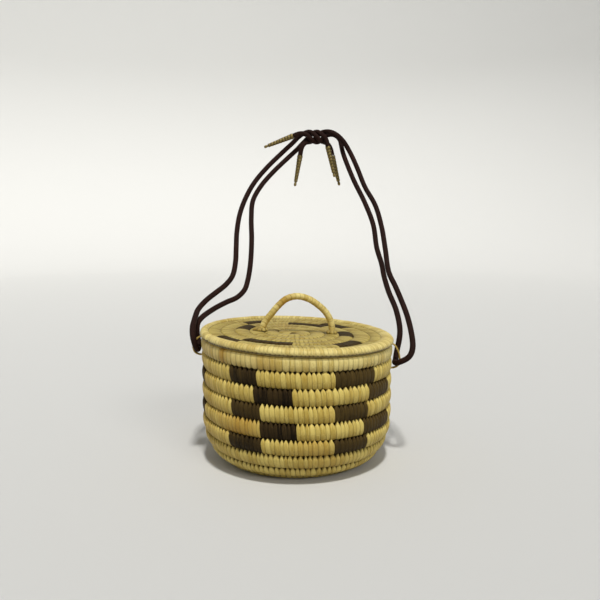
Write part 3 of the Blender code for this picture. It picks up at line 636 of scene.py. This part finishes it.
def evenly(curve, step):
    """Points along a fine curve at about this spacing."""
    reach = np.concatenate([[0], np.cumsum(np.linalg.norm(np.diff(curve, axis=0), axis=1))])
    even = np.linspace(0, reach[-1], int(reach[-1] / step) + 1)
    return np.stack([np.interp(even, reach, curve[:, axis]) for axis in range(3)], axis=1)


def ear_height(side):
    """Height of the cord's middle in the left (-1) or right (1) ear."""
    turns = (WALL_SEAM_AZIMUTH - 90 * side) / 360
    return RIM_SEAT_HEIGHT + COIL_PITCH * (turns - 0.5) - EAR_DROPS[side]


def ear_seat(side, forward):
    """Where the cord's middle passes through an ear."""
    out = WALL_RADIUS + RIM_COIL_BULGE + SEAT_GAP + CORD_CLEARANCE + CORD_DIAMETER / 2
    return Vector((side * out, -forward, ear_height(side)))


# Each tip: where its strand starts round the knot, at which end it leaves, which way it points
TIPS = {
    "tip_1": (0, 0, (-0.93, -0.03, -0.36)),
    "tip_2": (-90, 0, (-0.17, -0.03, -0.98)),
    "tip_3": (180, 1, (0.22, -0.05, -0.97)),
    "tip_4": (90, 1, (0.24, 0.05, -0.97)),
}
LEFT_OUTER = millimetres(
    (9.2, 192.9, 320.1), (5.1, 194.3, 318.2), (1.3, 194.2, 315.4), (-6, 192, 308),
    (-16, 187.8, 298.5), (-35, 178, 279.5), (-49, 166, 262), (-58, 154, 245), (-64, 138, 226),
    (-66, 120, 206), (-65.5, 105, 191), (-65, 89, 176), (-67, 75, 163), (-73, 65, 155),
    (-82, 57, 148), (-90, 49, 142), (-95, 40, 137), (-97, 29, 133.7), (-96.8, 16, 131.3),
    (-96.4, 5, 129), (-96.2, -4, 126.5), (-96.2, -9, 124.1), (-96, -12, 121.1),
    (-95.6, -13.8, 117.5))
LEFT_EAR = (ear_seat(-1, EAR_LEFT_FORWARD), (-0.2, 0, 0.98), (-3, 3))
LEFT_INNER = millimetres(
    (-95.3, 10.2, 117.9), (-95.3, 12, 121.4), (-94.9, 15, 123.9), (-94.1, 19.2, 125.5),
    (-92.1, 28, 127.6), (-88, 41, 130),
    (-81, 54, 133.5), (-72.5, 64.5, 137), (-62, 74, 141), (-55, 81, 148), (-52, 89, 158),
    (-50, 100, 174), (-49.5, 115, 198), (-51, 134, 222), (-50, 150, 241), (-42, 163, 257),
    (-29, 175.5, 273), (-12, 187, 290), (-1.5, 193, 300), (6, 195.5, 308))
RIGHT_OUTER = millimetres(
    (37.5, 185, 320.5), (45, 181.5, 317), (53, 181, 309.5), (61, 182, 297), (69, 175.5, 279),
    (77, 163, 257), (87.5, 147, 236), (92.5, 126, 213), (94, 101, 190), (95, 75, 167),
    (100, 61, 154), (104.2, 48, 142), (107.2, 34, 131.5), (108.4, 21, 123.5), (108.7, 9, 116.6),
    (108.5, -2, 109.8), (107.9, -7.5, 105), (106.7, -10.6, 100.9), (104.9, -11.8, 97.6))
RIGHT_EAR = (ear_seat(1, 0.0), (0.84, 0, 0.54), (-3, 1))
RIGHT_INNER = millimetres(
    (95, 10.4, 92.4), (96.2, 13.2, 97.3), (97.6, 14.8, 103), (99, 17, 109.5),
    (99.8, 22, 117.3), (98.2, 37, 132.2),
    (93, 60, 149), (90.5, 80, 163), (89.5, 93, 174), (86, 110, 190), (84, 133, 215),
    (76, 150.5, 239), (65, 169, 264), (57, 180.5, 285), (53, 187, 297.5), (51.2, 191, 306.7),
    (50.2, 192.8, 311.2), (47.7, 194.2, 315), (43.9, 195.2, 317.6), (39.4, 195.8, 318.5),
    (34.9, 195.8, 317.6))


def knot_point(start_angle, share):
    """Place of a strand at a share of the knot's length."""
    angle = math.radians(start_angle - 180 * share)
    x, y, z = KNOT_START
    return Vector((x + KNOT_LENGTH * share, y - KNOT_LAY_RADIUS * math.cos(angle),
                   z + KNOT_LAY_RADIUS * math.sin(angle)))


def strand_to_tip(name):
    """From the strand's side of the knot through it, round and straight into the tip's mouth."""
    start_angle, end, aim = TIPS[name]
    aim = Vector(aim).normalized()
    shares = [abs(1 - end - step / KNOT_STEPS) for step in range(KNOT_STEPS + 1)]
    points = [knot_point(start_angle, share) for share in shares]
    start = points[-1]
    heading = (start - knot_point(start_angle, abs(end - 0.01))).normalized()
    whole = heading.angle(aim)
    inward = (aim - heading * math.cos(whole)).normalized()
    for step in range(1, 5):
        angle = whole * step / 4
        bend = heading * math.sin(angle) + inward * (1 - math.cos(angle))
        points.append(start + CORD_BEND_RADIUS * bend)
    points.append(points[-1] + aim * CORD_DIAMETER)
    return points


def ear_bend(ear):
    """Round the band from front to back, in steps of 30 degrees from the cord's lowest place."""
    place, rise, (first, last) = ear
    rise = Vector(rise).normalized()
    centre = place + rise * CORD_BEND_RADIUS
    points = []
    for step in range(first, last + 1):
        angle = math.radians(30 * step)
        side = Vector((0, math.sin(angle), 0))
        points.append(centre + CORD_BEND_RADIUS * (side - rise * math.cos(angle)))
    return points


def frames_along(path):
    """Two directions square to the path at each of its points, without twist."""
    along = np.gradient(path, axis=0)
    along /= np.linalg.norm(along, axis=1)[:, None]
    normal = np.cross(along[0], [0.3, 0.5, 0.81])
    first, second = [], []
    for direction in along:
        normal = normal - direction * np.dot(normal, direction)
        normal = normal / np.linalg.norm(normal)
        first.append(normal)
        second.append(np.cross(direction, normal))
    return np.array(first), np.array(second)


def braided_cord(name, route):
    """Tube with the relief of a round braid."""
    path = evenly(smooth_curve(route), CORD_STEP)
    first, second = frames_along(path)
    angle = 2 * math.pi * np.arange(CORD_SIDES) / CORD_SIDES
    along = np.arange(len(path))[:, None] * CORD_STEP / CORD_DIAMETER
    left = BRAID_BUNDLES * angle[None] + 2 * math.pi * along * BRAID_TURNS
    right = BRAID_BUNDLES * angle[None] - 2 * math.pi * along * BRAID_TURNS
    checks = np.sin(left) * np.sin(right)
    over = np.where(checks > 0, np.abs(np.sin(0.5 * left)), np.abs(np.sin(0.5 * right)))
    relief = np.abs(checks) ** 0.5
    radius = 0.5 * CORD_DIAMETER * (1 - BRAID_DEPTH + BRAID_DEPTH * relief)
    ring = (first[:, None] * np.cos(angle)[None, :, None]
            + second[:, None] * np.sin(angle)[None, :, None])
    sections = path[:, None] + ring * radius[..., None]
    turn = np.where(checks > 0, left, right)
    fibre = np.stack([turn * 2.2, along * 0.8 + 0 * turn, over * 2], axis=-1)
    # hollow is painted shade in the grooves between the bundles
    piece = tube_object(name, sections, {"fibre": fibre, "hollow": (1 - relief) ** 2})
    return piece, path


def metal_tip(name):
    """Turned metal tip: round ribs along a cone, a collar at the mouth and a bead at the end."""
    mouth = np.array(strand_to_tip(name)[-1])
    aim = Vector(TIPS[name][2]).normalized()
    bead = TIP_BEAD_RADIUS
    cone = TIP_LENGTH - 3 * bead
    along = [0.0, 0.0]
    radius = [edge[0] for edge in TIP_MOUTH]
    hollow = [edge[1] for edge in TIP_MOUTH]
    for step in range(TIP_RIBS * TIP_RIB_STEPS):
        share = (step + 0.5) / (TIP_RIBS * TIP_RIB_STEPS)
        rib = abs(math.sin(math.pi * share * TIP_RIBS)) ** 0.55
        along.append(cone * share)
        taper = (TIP_MOUTH_RADIUS - TIP_END_RADIUS) * share
        radius.append(TIP_MOUTH_RADIUS - taper - TIP_RIB_DEPTH * (1 - rib))
        hollow.append((1 - rib) ** 0.7)
    for step in range(TIP_BEAD_STEPS):
        turn = math.pi * (step + 1) / (TIP_BEAD_STEPS + 1)
        along.append(cone + 1.5 * bead * (1 - math.cos(turn)))
        radius.append(bead * (0.25 + 0.75 * math.sin(turn) ** 0.8))
        hollow.append(0.6 if step < 2 else 0.1)
    turn = np.array(aim.to_track_quat("Z", "Y").to_matrix())
    angle = 2 * math.pi * np.arange(TIP_SIDES) / TIP_SIDES
    radius = np.array(radius)[:, None]
    sections = np.stack([radius * np.cos(angle), radius * np.sin(angle),
                         (SEAT_GAP + np.array(along))[:, None] + 0 * angle], axis=-1)
    sections = sections @ turn.T + mouth
    hollow = np.repeat(np.array(hollow)[:, None], TIP_SIDES, 1)
    return tube_object(name.replace("tip", "brass_tip"), sections, {"hollow": hollow})


tips = {name: dress(metal_tip(name), BRASS, "basket", name) for name in TIPS}
routes = {
    "cord_left": (strand_to_tip("tip_4")[::-1] + LEFT_OUTER + ear_bend(LEFT_EAR)
                  + LEFT_INNER + strand_to_tip("tip_3"), ("tip_4", "tip_3")),
    "cord_right": (strand_to_tip("tip_2")[::-1] + RIGHT_OUTER + ear_bend(RIGHT_EAR)
                   + RIGHT_INNER + strand_to_tip("tip_1"), ("tip_2", "tip_1")),
}
for name, (route, ends) in routes.items():
    piece, path = braided_cord(name.replace("cord", "strap_cord"), route)
    dress(piece, CORD, "basket", name)

# Basket
# Widths of a stitch
BASE_STITCH = 0.0045
RIM_STITCH = 0.0053
WALL_STYLE = Style(sides=28, round_face=0.78, gap=0.00034, notch=3.6, peak=0.130, foot=0.02,
                   slant=0.14, tilt=0.0010, ochre=0.06, line=0.46)
BASE_STYLE = Style(sides=24, round_face=0.72, gap=0.00034, notch=3.6, peak=0.130, slant=0.14,
                   tilt=0.0008, ochre=0.04)
RIM_STYLE = Style(sides=28, round_face=0.56, gap=0.00030, notch=0.0, foot=0.055, slant=0.03,
                  tilt=0.0004, seams=(1, 0), ochre=0.05)
# How brown the dark splint of each pair of blocks has faded, on the rows from the top
FADED = {1: (0.3, 0.5, 0.2, 0.4, 0.3), 2: (0.18, 0.0, 0.45, 0.02, 0.22),
         3: (0.72, 0.80, 0.62, 0.74, 0.52), 4: (0.3, 0.1, 0.5, 0.2, 0.3),
         5: (0.1, 0.4, 0.2, 0.6, 0.3)}
LID_FADED = 0.35
# How far a block's left and right edges lie from their regular places, in degrees
UNEVEN_EDGES = {
    "dark_wraps_row_2_3": (0.3, 4.4), "dark_wraps_row_3_2": (-2.0, 0.0),
    "dark_wraps_row_4_2": (2.8, 1.6), "dark_wraps_row_5_2": (1.6, 1.5),
    "dark_wraps_row_6_2": (0.0, 2.6), "dark_wraps_row_3_3": (1.1, 3.0),
    "dark_wraps_row_5_3": (-2.6, 2.6),
}


def wall_blocks():
    """Range of turns and fading of each dark block, by the name of its node."""
    blocks = {}
    for row in range(2, WALL_TURNS + 1):
        for number, (middle, width) in enumerate(WALL_BLOCK_PAIRS, 1):
            right_edge = middle + (width if row % 2 else 0)
            low = WALL_TURNS + 1 - row + (WALL_SEAM_AZIMUTH - right_edge) / 360 % 1
            name = f"dark_wraps_row_{row}_{number}"
            left, right = UNEVEN_EDGES.get(name, (0, 0))
            span = (low - right / 360, low + (width - left) / 360)
            blocks[name] = (span, FADED[number][row - 2])
    return blocks


def lid_blocks():
    """The same of the lid's dark blocks."""
    blocks = {}
    for name, turn, spans in (("outer", 0, LID_OUTER_BLOCKS), ("inner", 1, LID_INNER_BLOCKS)):
        for number, (left, right) in enumerate(spans, 1):
            low = (LID_SEAM_AZIMUTH - right) / 360 - turn
            span = (low, low + (right - left) / 360)
            blocks[f"lid_dark_wraps_{name}_{number}"] = (span, LID_FADED)
    return blocks


def light_and_dark(name, place, starts, thickness, style, blocks, light, body, node,
                   weather=None):
    """The light stretches of a coil as one piece, and each dark run as a piece of its own."""
    middle = 0.5 * (starts[1:] + starts[:-1])
    dark = np.zeros(len(middle), dtype=bool)
    for block, (span, faded) in blocks.items():
        dark |= (middle > span[0]) & (middle < span[1])
        piece = stitched_coil(block + "_stitches", place, starts, thickness, style, span,
                              aged=faded)
        dress(piece, DARK, body, block)
    edges = np.flatnonzero(np.diff(np.concatenate([[1], dark.astype(int), [1]])))
    stretches = []
    for first, last in zip(edges[::2], edges[1::2]):
        span = (starts[first] - 1e-6, starts[last] + 1e-6)
        stretches.append(stitched_coil("stretch", place, starts, thickness, style, span,
                                       weather=weather))
    piece = join(stretches, name)
    return dress(piece, light, body, node)


def join(objects, name):
    """One object from several."""
    bpy.ops.object.select_all(action="DESELECT")
    for obj in objects:
        obj.select_set(True)
    bpy.context.view_layer.objects.active = objects[0]
    bpy.ops.object.join()
    objects[0].name = name
    objects[0].data.name = name
    return objects[0]


def hump(value, middle, width):
    """Smooth hump from 0 to 1 and back."""
    return np.cos(np.clip((value - middle) / width, -1, 1) * 0.5 * math.pi) ** 2


def weathered_wall(turns):
    """Share of the aged colour along the wall: more on its left, and patches of brown splint."""
    azimuth = (WALL_SEAM_AZIMUTH - 360 * turns + 180) % 360 - 180
    row = WALL_TURNS + 1 - np.floor(turns)
    aged = 0.48 * hump(azimuth, -85, 66)
    aged = aged + 0.95 * (row == 5) * hump(azimuth, -31, 22)
    aged = aged + 0.55 * (row == 6) * hump(azimuth, 8, 20)
    aged = aged + 0.35 * (row == 7) * hump(azimuth, 22, 24)
    return np.clip(aged, 0, 1)


def weathered_rim(turns):
    """The same along the rim coil."""
    azimuth = (WALL_SEAM_AZIMUTH - 360 * turns + 180) % 360 - 180
    aged = 0.42 * hump(azimuth, -75, 64) + 0.55 * hump(azimuth, -17, 14) + hump(azimuth, -46, 3.5)
    return np.clip(aged, 0, 1)


light_and_dark("wall_stitches", wall_place, wall_starts(), COIL_THICKNESS, WALL_STYLE,
               wall_blocks(), STRAW, "basket", "basket_wall", weathered_wall)
base_eye = -WALL_START / COIL_PITCH - EYE_TURNS
base_starts = stitch_starts(base_eye, 0.0, wall_radius_at, BASE_STITCH, 5)
base = stitched_coil("base_stitches", wall_place, base_starts, COIL_THICKNESS, BASE_STYLE)
dress(base, STRAW, "basket", "basket_base")
rim_starts = stitch_starts(float(WALL_TURNS), WALL_TURNS + 1.0, lambda turns: WALL_RADIUS,
                           RIM_STITCH, 7)
rim = stitched_coil("rim_stitches", rim_place, rim_starts, COIL_THICKNESS, RIM_STYLE,
                    weather=weathered_rim)
dress(rim, RIM_STRAW, "basket", "rim_coil")


def ear_outline(side, angle):
    """Place out from the wall and height of the band's middle line."""
    height = ear_height(side)
    top = RIM_TOP_HEIGHT - math.tan(LID_TILT) * side * WALL_RADIUS - EAR_TOP_MARGIN
    reach = np.clip(np.cos(angle), 0, 1)
    rise = np.sin(angle)
    out = EAR_REACH * np.where(rise > 0, reach ** EAR_SLACK, reach)
    return out, height + np.where(rise > 0, (top - height) * rise, EAR_FALL * rise)


EAR_STRANDS = 3
EAR_STEPS = 36
EAR_SIDES = 24


def ear(name, side, forward):
    """Band of splint: strands side by side, from the rim's top to under the cord."""
    angle = math.pi * (0.5 - np.arange(EAR_STEPS + 1) / EAR_STEPS)
    out, height = ear_outline(side, angle)
    thickness = EAR_THICKNESS + EAR_EXTRA * np.cos(angle)[:, None] ** 0.5
    base = (WALL_RADIUS + SEAT_GAP + RIM_COIL_BULGE * (angle > 0))[:, None]
    along = np.stack([np.gradient(out), np.gradient(height)], axis=-1)
    along /= np.linalg.norm(along, axis=1)[:, None]
    turn = 2 * math.pi * np.arange(EAR_SIDES) / EAR_SIDES
    across = np.sign(np.cos(turn)) * np.abs(np.cos(turn)) ** 0.6 * 0.5 * EAR_WIDTH
    strands = np.abs(np.cos(0.5 * EAR_STRANDS * math.pi * across / EAR_WIDTH)) ** 0.4
    face = np.sign(np.sin(turn)) * np.abs(np.sin(turn)) ** 0.6 * (0.72 + 0.28 * strands)
    thick = np.where(face > 0, face * (thickness - 0.5 * EAR_THICKNESS), face * 0.5 * EAR_THICKNESS)
    x = base + np.maximum(out[:, None] - along[:, 1:] * thick, 0)
    z = height[:, None] + along[:, :1] * thick
    sections = np.stack([side * x, across - forward + 0 * x, z], axis=-1)
    along_band = (np.arange(EAR_STEPS + 1) * 0.6)[:, None]
    fibre = np.stack([across * 1000 + 0 * x, along_band + 0 * x, 0 * x], axis=-1)
    # hollow is painted shade between the strands
    attributes = {"fibre": fibre, "hollow": 0.7 * (1 - strands) + 0 * x, "tone": 0.4 + 0 * x,
                  "aged": 0.5 + 0 * x}
    piece = tube_object(name + "_splints", sections, attributes)
    return dress(piece, STRAW, "basket", name)


ear("ear_left", -1, EAR_LEFT_FORWARD)
ear("ear_right", 1, 0.0)

# Lid
# Widths of a stitch
LID_STITCH = 0.0036
LID_EDGE_STITCH = 0.0037
FLANGE_STITCH = 0.0055
LAST_ROW_END = 0.998        # turns, so that its two ends don't touch
LID_STYLE = Style(sides=24, round_face=0.56, gap=0.00030, notch=2.0, peak=0.060, slant=0.30,
                  tilt=0.0003, seams=(0.6, 0.8), ochre=0.05)
LID_EDGE_STYLE = Style(sides=28, round_face=0.95, gap=0.00026, slant=0.30, seams=(0.5, 0),
                       ochre=0.06, under=0.8, line=0.38)
FLANGE_STYLE = Style(sides=20, round_face=0.60, gap=0.00030, slant=0.05, seams=(0, 0))


def lid_radius_at(turns):
    """Radius of the lid's coil in the middle of its row."""
    return max(LID_START + LID_PITCH * (turns + 0.5), 0.0)


lid_eye = -LID_START / LID_PITCH - EYE_TURNS
lid_starts = stitch_starts(lid_eye, 0.0, lid_radius_at, LID_STITCH, 9)
light_and_dark("lid_stitches", lid_place, lid_starts, LID_DISC_THICKNESS, LID_STYLE,
               lid_blocks(), LID_STRAW, "lid", "lid_disc")
last_row_starts = stitch_starts(0.0, LAST_ROW_END, lambda turns: LID_RADIUS - LID_EDGE_TUBE,
                                LID_STITCH, 16)
last_row = stitched_coil("lid_last_row_stitches", lid_last_row_place, last_row_starts,
                         LID_DISC_THICKNESS, LID_STYLE)
dress(last_row, LID_STRAW, "lid", "lid_rim_coil")
edge_starts = stitch_starts(0.0, 1.0, lambda turns: LID_RADIUS, LID_EDGE_STITCH, 10)
edge = stitched_coil("lid_edge_stitches", lid_edge_place, edge_starts, LID_THICKNESS,
                     LID_EDGE_STYLE, blunt=LID_EDGE_BLUNT)
dress(edge, RIM_STRAW, "lid", "lid_rim_coil")


def flange_place(turns, share, lift):
    """Point of the ring under the lid."""
    radius = FLANGE_OUTER - FLANGE_WIDTH + FLANGE_WIDTH * share
    return into_lid(around(radius, -360 * turns, lift))


flange_starts = stitch_starts(0.0, 1.0, lambda turns: FLANGE_OUTER, FLANGE_STITCH, 12)
flange = stitched_coil("flange_stitches", flange_place, flange_starts, FLANGE_DEPTH, FLANGE_STYLE)
dress(flange, STRAW, "lid", "lid_flange")


HANDLE_STEP = 0.00035       # between two outlines of the handle
HANDLE_SIDES = 28
HANDLE_SPLINT = 0.0041      # from one of its wraps to the next
HANDLE_SLANT = 0.0022       # of a wrap along the handle, from its middle to its outer side
HANDLE_CORE = 0.0004        # the wraps' lowest place lies this far inside the plain radius
HANDLE_LAP = 0.0005         # how high a wrap's edge stands


def wrapped_handle():
    """Arch wound with a flat splint, each turn lapping over the one before."""
    route = [(x * HANDLE_HALF_SPAN, 0, HANDLE_FLOOR + z * HANDLE_HEIGHT)
             for x, z in HANDLE_OUTLINE]
    path = evenly(smooth_curve(route), HANDLE_STEP)
    along = np.gradient(path, axis=0)
    along /= np.linalg.norm(along, axis=1)[:, None]
    angle = 2 * math.pi * np.arange(HANDLE_SIDES) / HANDLE_SIDES
    across = np.cross([0, 1, 0], along)
    reach = np.arange(len(path))[:, None] * HANDLE_STEP
    phase = (reach + HANDLE_SLANT * np.sin(angle)) / HANDLE_SPLINT + 0.22 * angle / math.pi
    phase = phase + 0.35 * np.sin(reach * 95)
    lap = phase - np.floor(phase)
    relief = np.clip(lap / 0.12, 0, 1) * (1 - 0.45 * lap)
    radius = HANDLE_RADIUS - HANDLE_CORE + HANDLE_LAP * relief
    ring = (across[:, None] * np.cos(angle)[None, :, None]
            + np.array([0, 1, 0]) * np.sin(angle)[None, :, None])
    sections = into_lid(path[:, None] + ring * radius[..., None])
    wrap = np.floor(phase)
    fibre = np.stack([lap * 4, np.broadcast_to(angle * 3, lap.shape), wrap * 3.7], axis=-1)
    weathered = np.clip(1 - np.abs(path[:, :1] + 0.013) / 0.012, 0, 1) * (path[:, 2:] > 0.030)
    # Aged colour on a patch of the arch's top, and painted shade on its underside
    aged = np.clip(0.9 * weathered + 0.6 * np.clip(np.cos(angle), 0, 1), 0, 1)
    # hollow is painted shade along the edge where each wrap laps over the one before
    attributes = {"fibre": fibre, "tone": hash_noise(wrap, 4), "aged": aged,
                  "hollow": (0.35 + 0.5 * hash_noise(wrap, 8)) * np.clip(1 - lap / 0.16, 0, 1)}
    piece = tube_object("handle_wraps", sections, attributes)
    return dress(piece, RIM_STRAW, "lid", "lid_handle")


LASHING_WIDTH = 0.0022
LASHING_HEIGHT = 0.0030
LASHING_LOBES = 7
LASHING_SIDES = 96
# Outline of a lashing from its inner foot outwards and up: shares of its width and height
LASHING_OUTLINE = ((0, 0.0), (1.0, 0.0), (1.0, 0.30), (0.8, 0.6), (0.5, 0.85), (0.2, 1.0),
                   (0, 1.0))


def lashing(name, x, seed, fan):
    """Splints gathered round a foot of the handle, some of them fanned out over the lid."""
    inner = HANDLE_RADIUS + SEAT_GAP * 0.3
    turn = 2 * math.pi * np.arange(LASHING_SIDES) / LASHING_SIDES
    lobes = np.abs(np.sin(0.5 * LASHING_LOBES * turn + seed))[:, None] ** 0.6
    reach = np.array([place[0] for place in LASHING_OUTLINE])
    rise = np.array([place[1] for place in LASHING_OUTLINE])
    outwards = np.clip(-np.sin(turn), 0, 1)[:, None] ** 3
    width = LASHING_WIDTH * (0.55 + 0.45 * lobes) + fan * outwards * lobes
    radius = inner + width * reach
    z = HANDLE_FLOOR + LASHING_HEIGHT * rise * (0.7 + 0.3 * lobes)
    turn = turn[:, None]
    sections = np.stack([x + radius * np.sin(turn), -radius * np.cos(turn), z], axis=-1)
    fibre = np.stack([turn * 6 + 0 * z, reach * 2 + 0 * z, 0 * z], axis=-1)
    tone = hash_noise(np.floor((0.5 * LASHING_LOBES * turn + seed) / math.pi), 6)
    # hollow is painted shade between the lobes of the splints
    attributes = {"fibre": fibre, "hollow": (1 - lobes) * 0.9 + 0 * z, "tone": tone + 0 * z,
                  "aged": 0.15 + 0 * z}
    piece = tube_object(name + "_splints", into_lid(sections), attributes, ring=True)
    return dress(piece, LID_STRAW, "lid", name)


wrapped_handle()
lashing("handle_lashing_left", -HANDLE_HALF_SPAN, seed=0.4, fan=0.0040)
lashing("handle_lashing_right", HANDLE_HALF_SPAN, seed=1.7, fan=0.0)

# Stage and light
STUDIO_RADIUS = 1.9         # of the flat floor
STUDIO_CURVE = 0.9          # by which it turns up into the wall
STUDIO_HEIGHT = 1.5
STUDIO_SIDES = 96
FLOOR_COLOR = (0.66, 0.66, 0.645, 1.0)
LIGHT_COLOR = (1.0, 0.985, 0.95)
WORLD_COLOR = (0.92, 0.94, 0.97, 1.0)
WORLD_STRENGTH = 0.25
studio_turn = np.linspace(0, 0.5 * math.pi, 24)
studio_radius = np.concatenate([[0.0, 0.6], STUDIO_RADIUS + STUDIO_CURVE * np.sin(studio_turn),
                                [STUDIO_RADIUS + STUDIO_CURVE]])
studio_height = np.concatenate([[0.0, 0.0], STUDIO_CURVE * (1 - np.cos(studio_turn)),
                                [STUDIO_HEIGHT]])
studio_azimuth = np.arange(STUDIO_SIDES) * 360 / STUDIO_SIDES
studio = around(studio_radius[:, None], studio_azimuth[None, :], studio_height[:, None])
floor_faces = grid_faces(len(studio_radius), STUDIO_SIDES)
floor_piece = make_mesh("floor", studio.reshape(-1, 3), floor_faces)
floor_nodes = Nodes("pale_floor")
floor_nodes.shader.inputs["Base Color"].default_value = FLOOR_COLOR
floor_nodes.shader.inputs["Roughness"].default_value = 0.9
floor_piece.data.materials.append(floor_nodes.material)


def sun_light(name, direction, angle, power):
    """Light from one side, with soft edges to its shadows."""
    data = bpy.data.lights.new(name, "SUN")
    data.angle = math.radians(angle)
    data.energy = power
    data.color = LIGHT_COLOR
    light = bpy.data.objects.new(name, data)
    light.rotation_euler = (-Vector(direction)).to_track_quat("-Z", "Y").to_euler()
    bpy.context.scene.collection.objects.link(light)


sun_light("high_key", (0.04, -0.32, 1.0), angle=6, power=2.15)
sun_light("front_fill", (0.62, -1.0, 0.58), angle=28, power=1.45)
world = bpy.data.worlds.new("studio")
world.use_nodes = True
world.node_tree.nodes["Background"].inputs["Color"].default_value = WORLD_COLOR
world.node_tree.nodes["Background"].inputs["Strength"].default_value = WORLD_STRENGTH
bpy.context.scene.world = world
bpy.context.scene.view_settings.view_transform = "Standard"
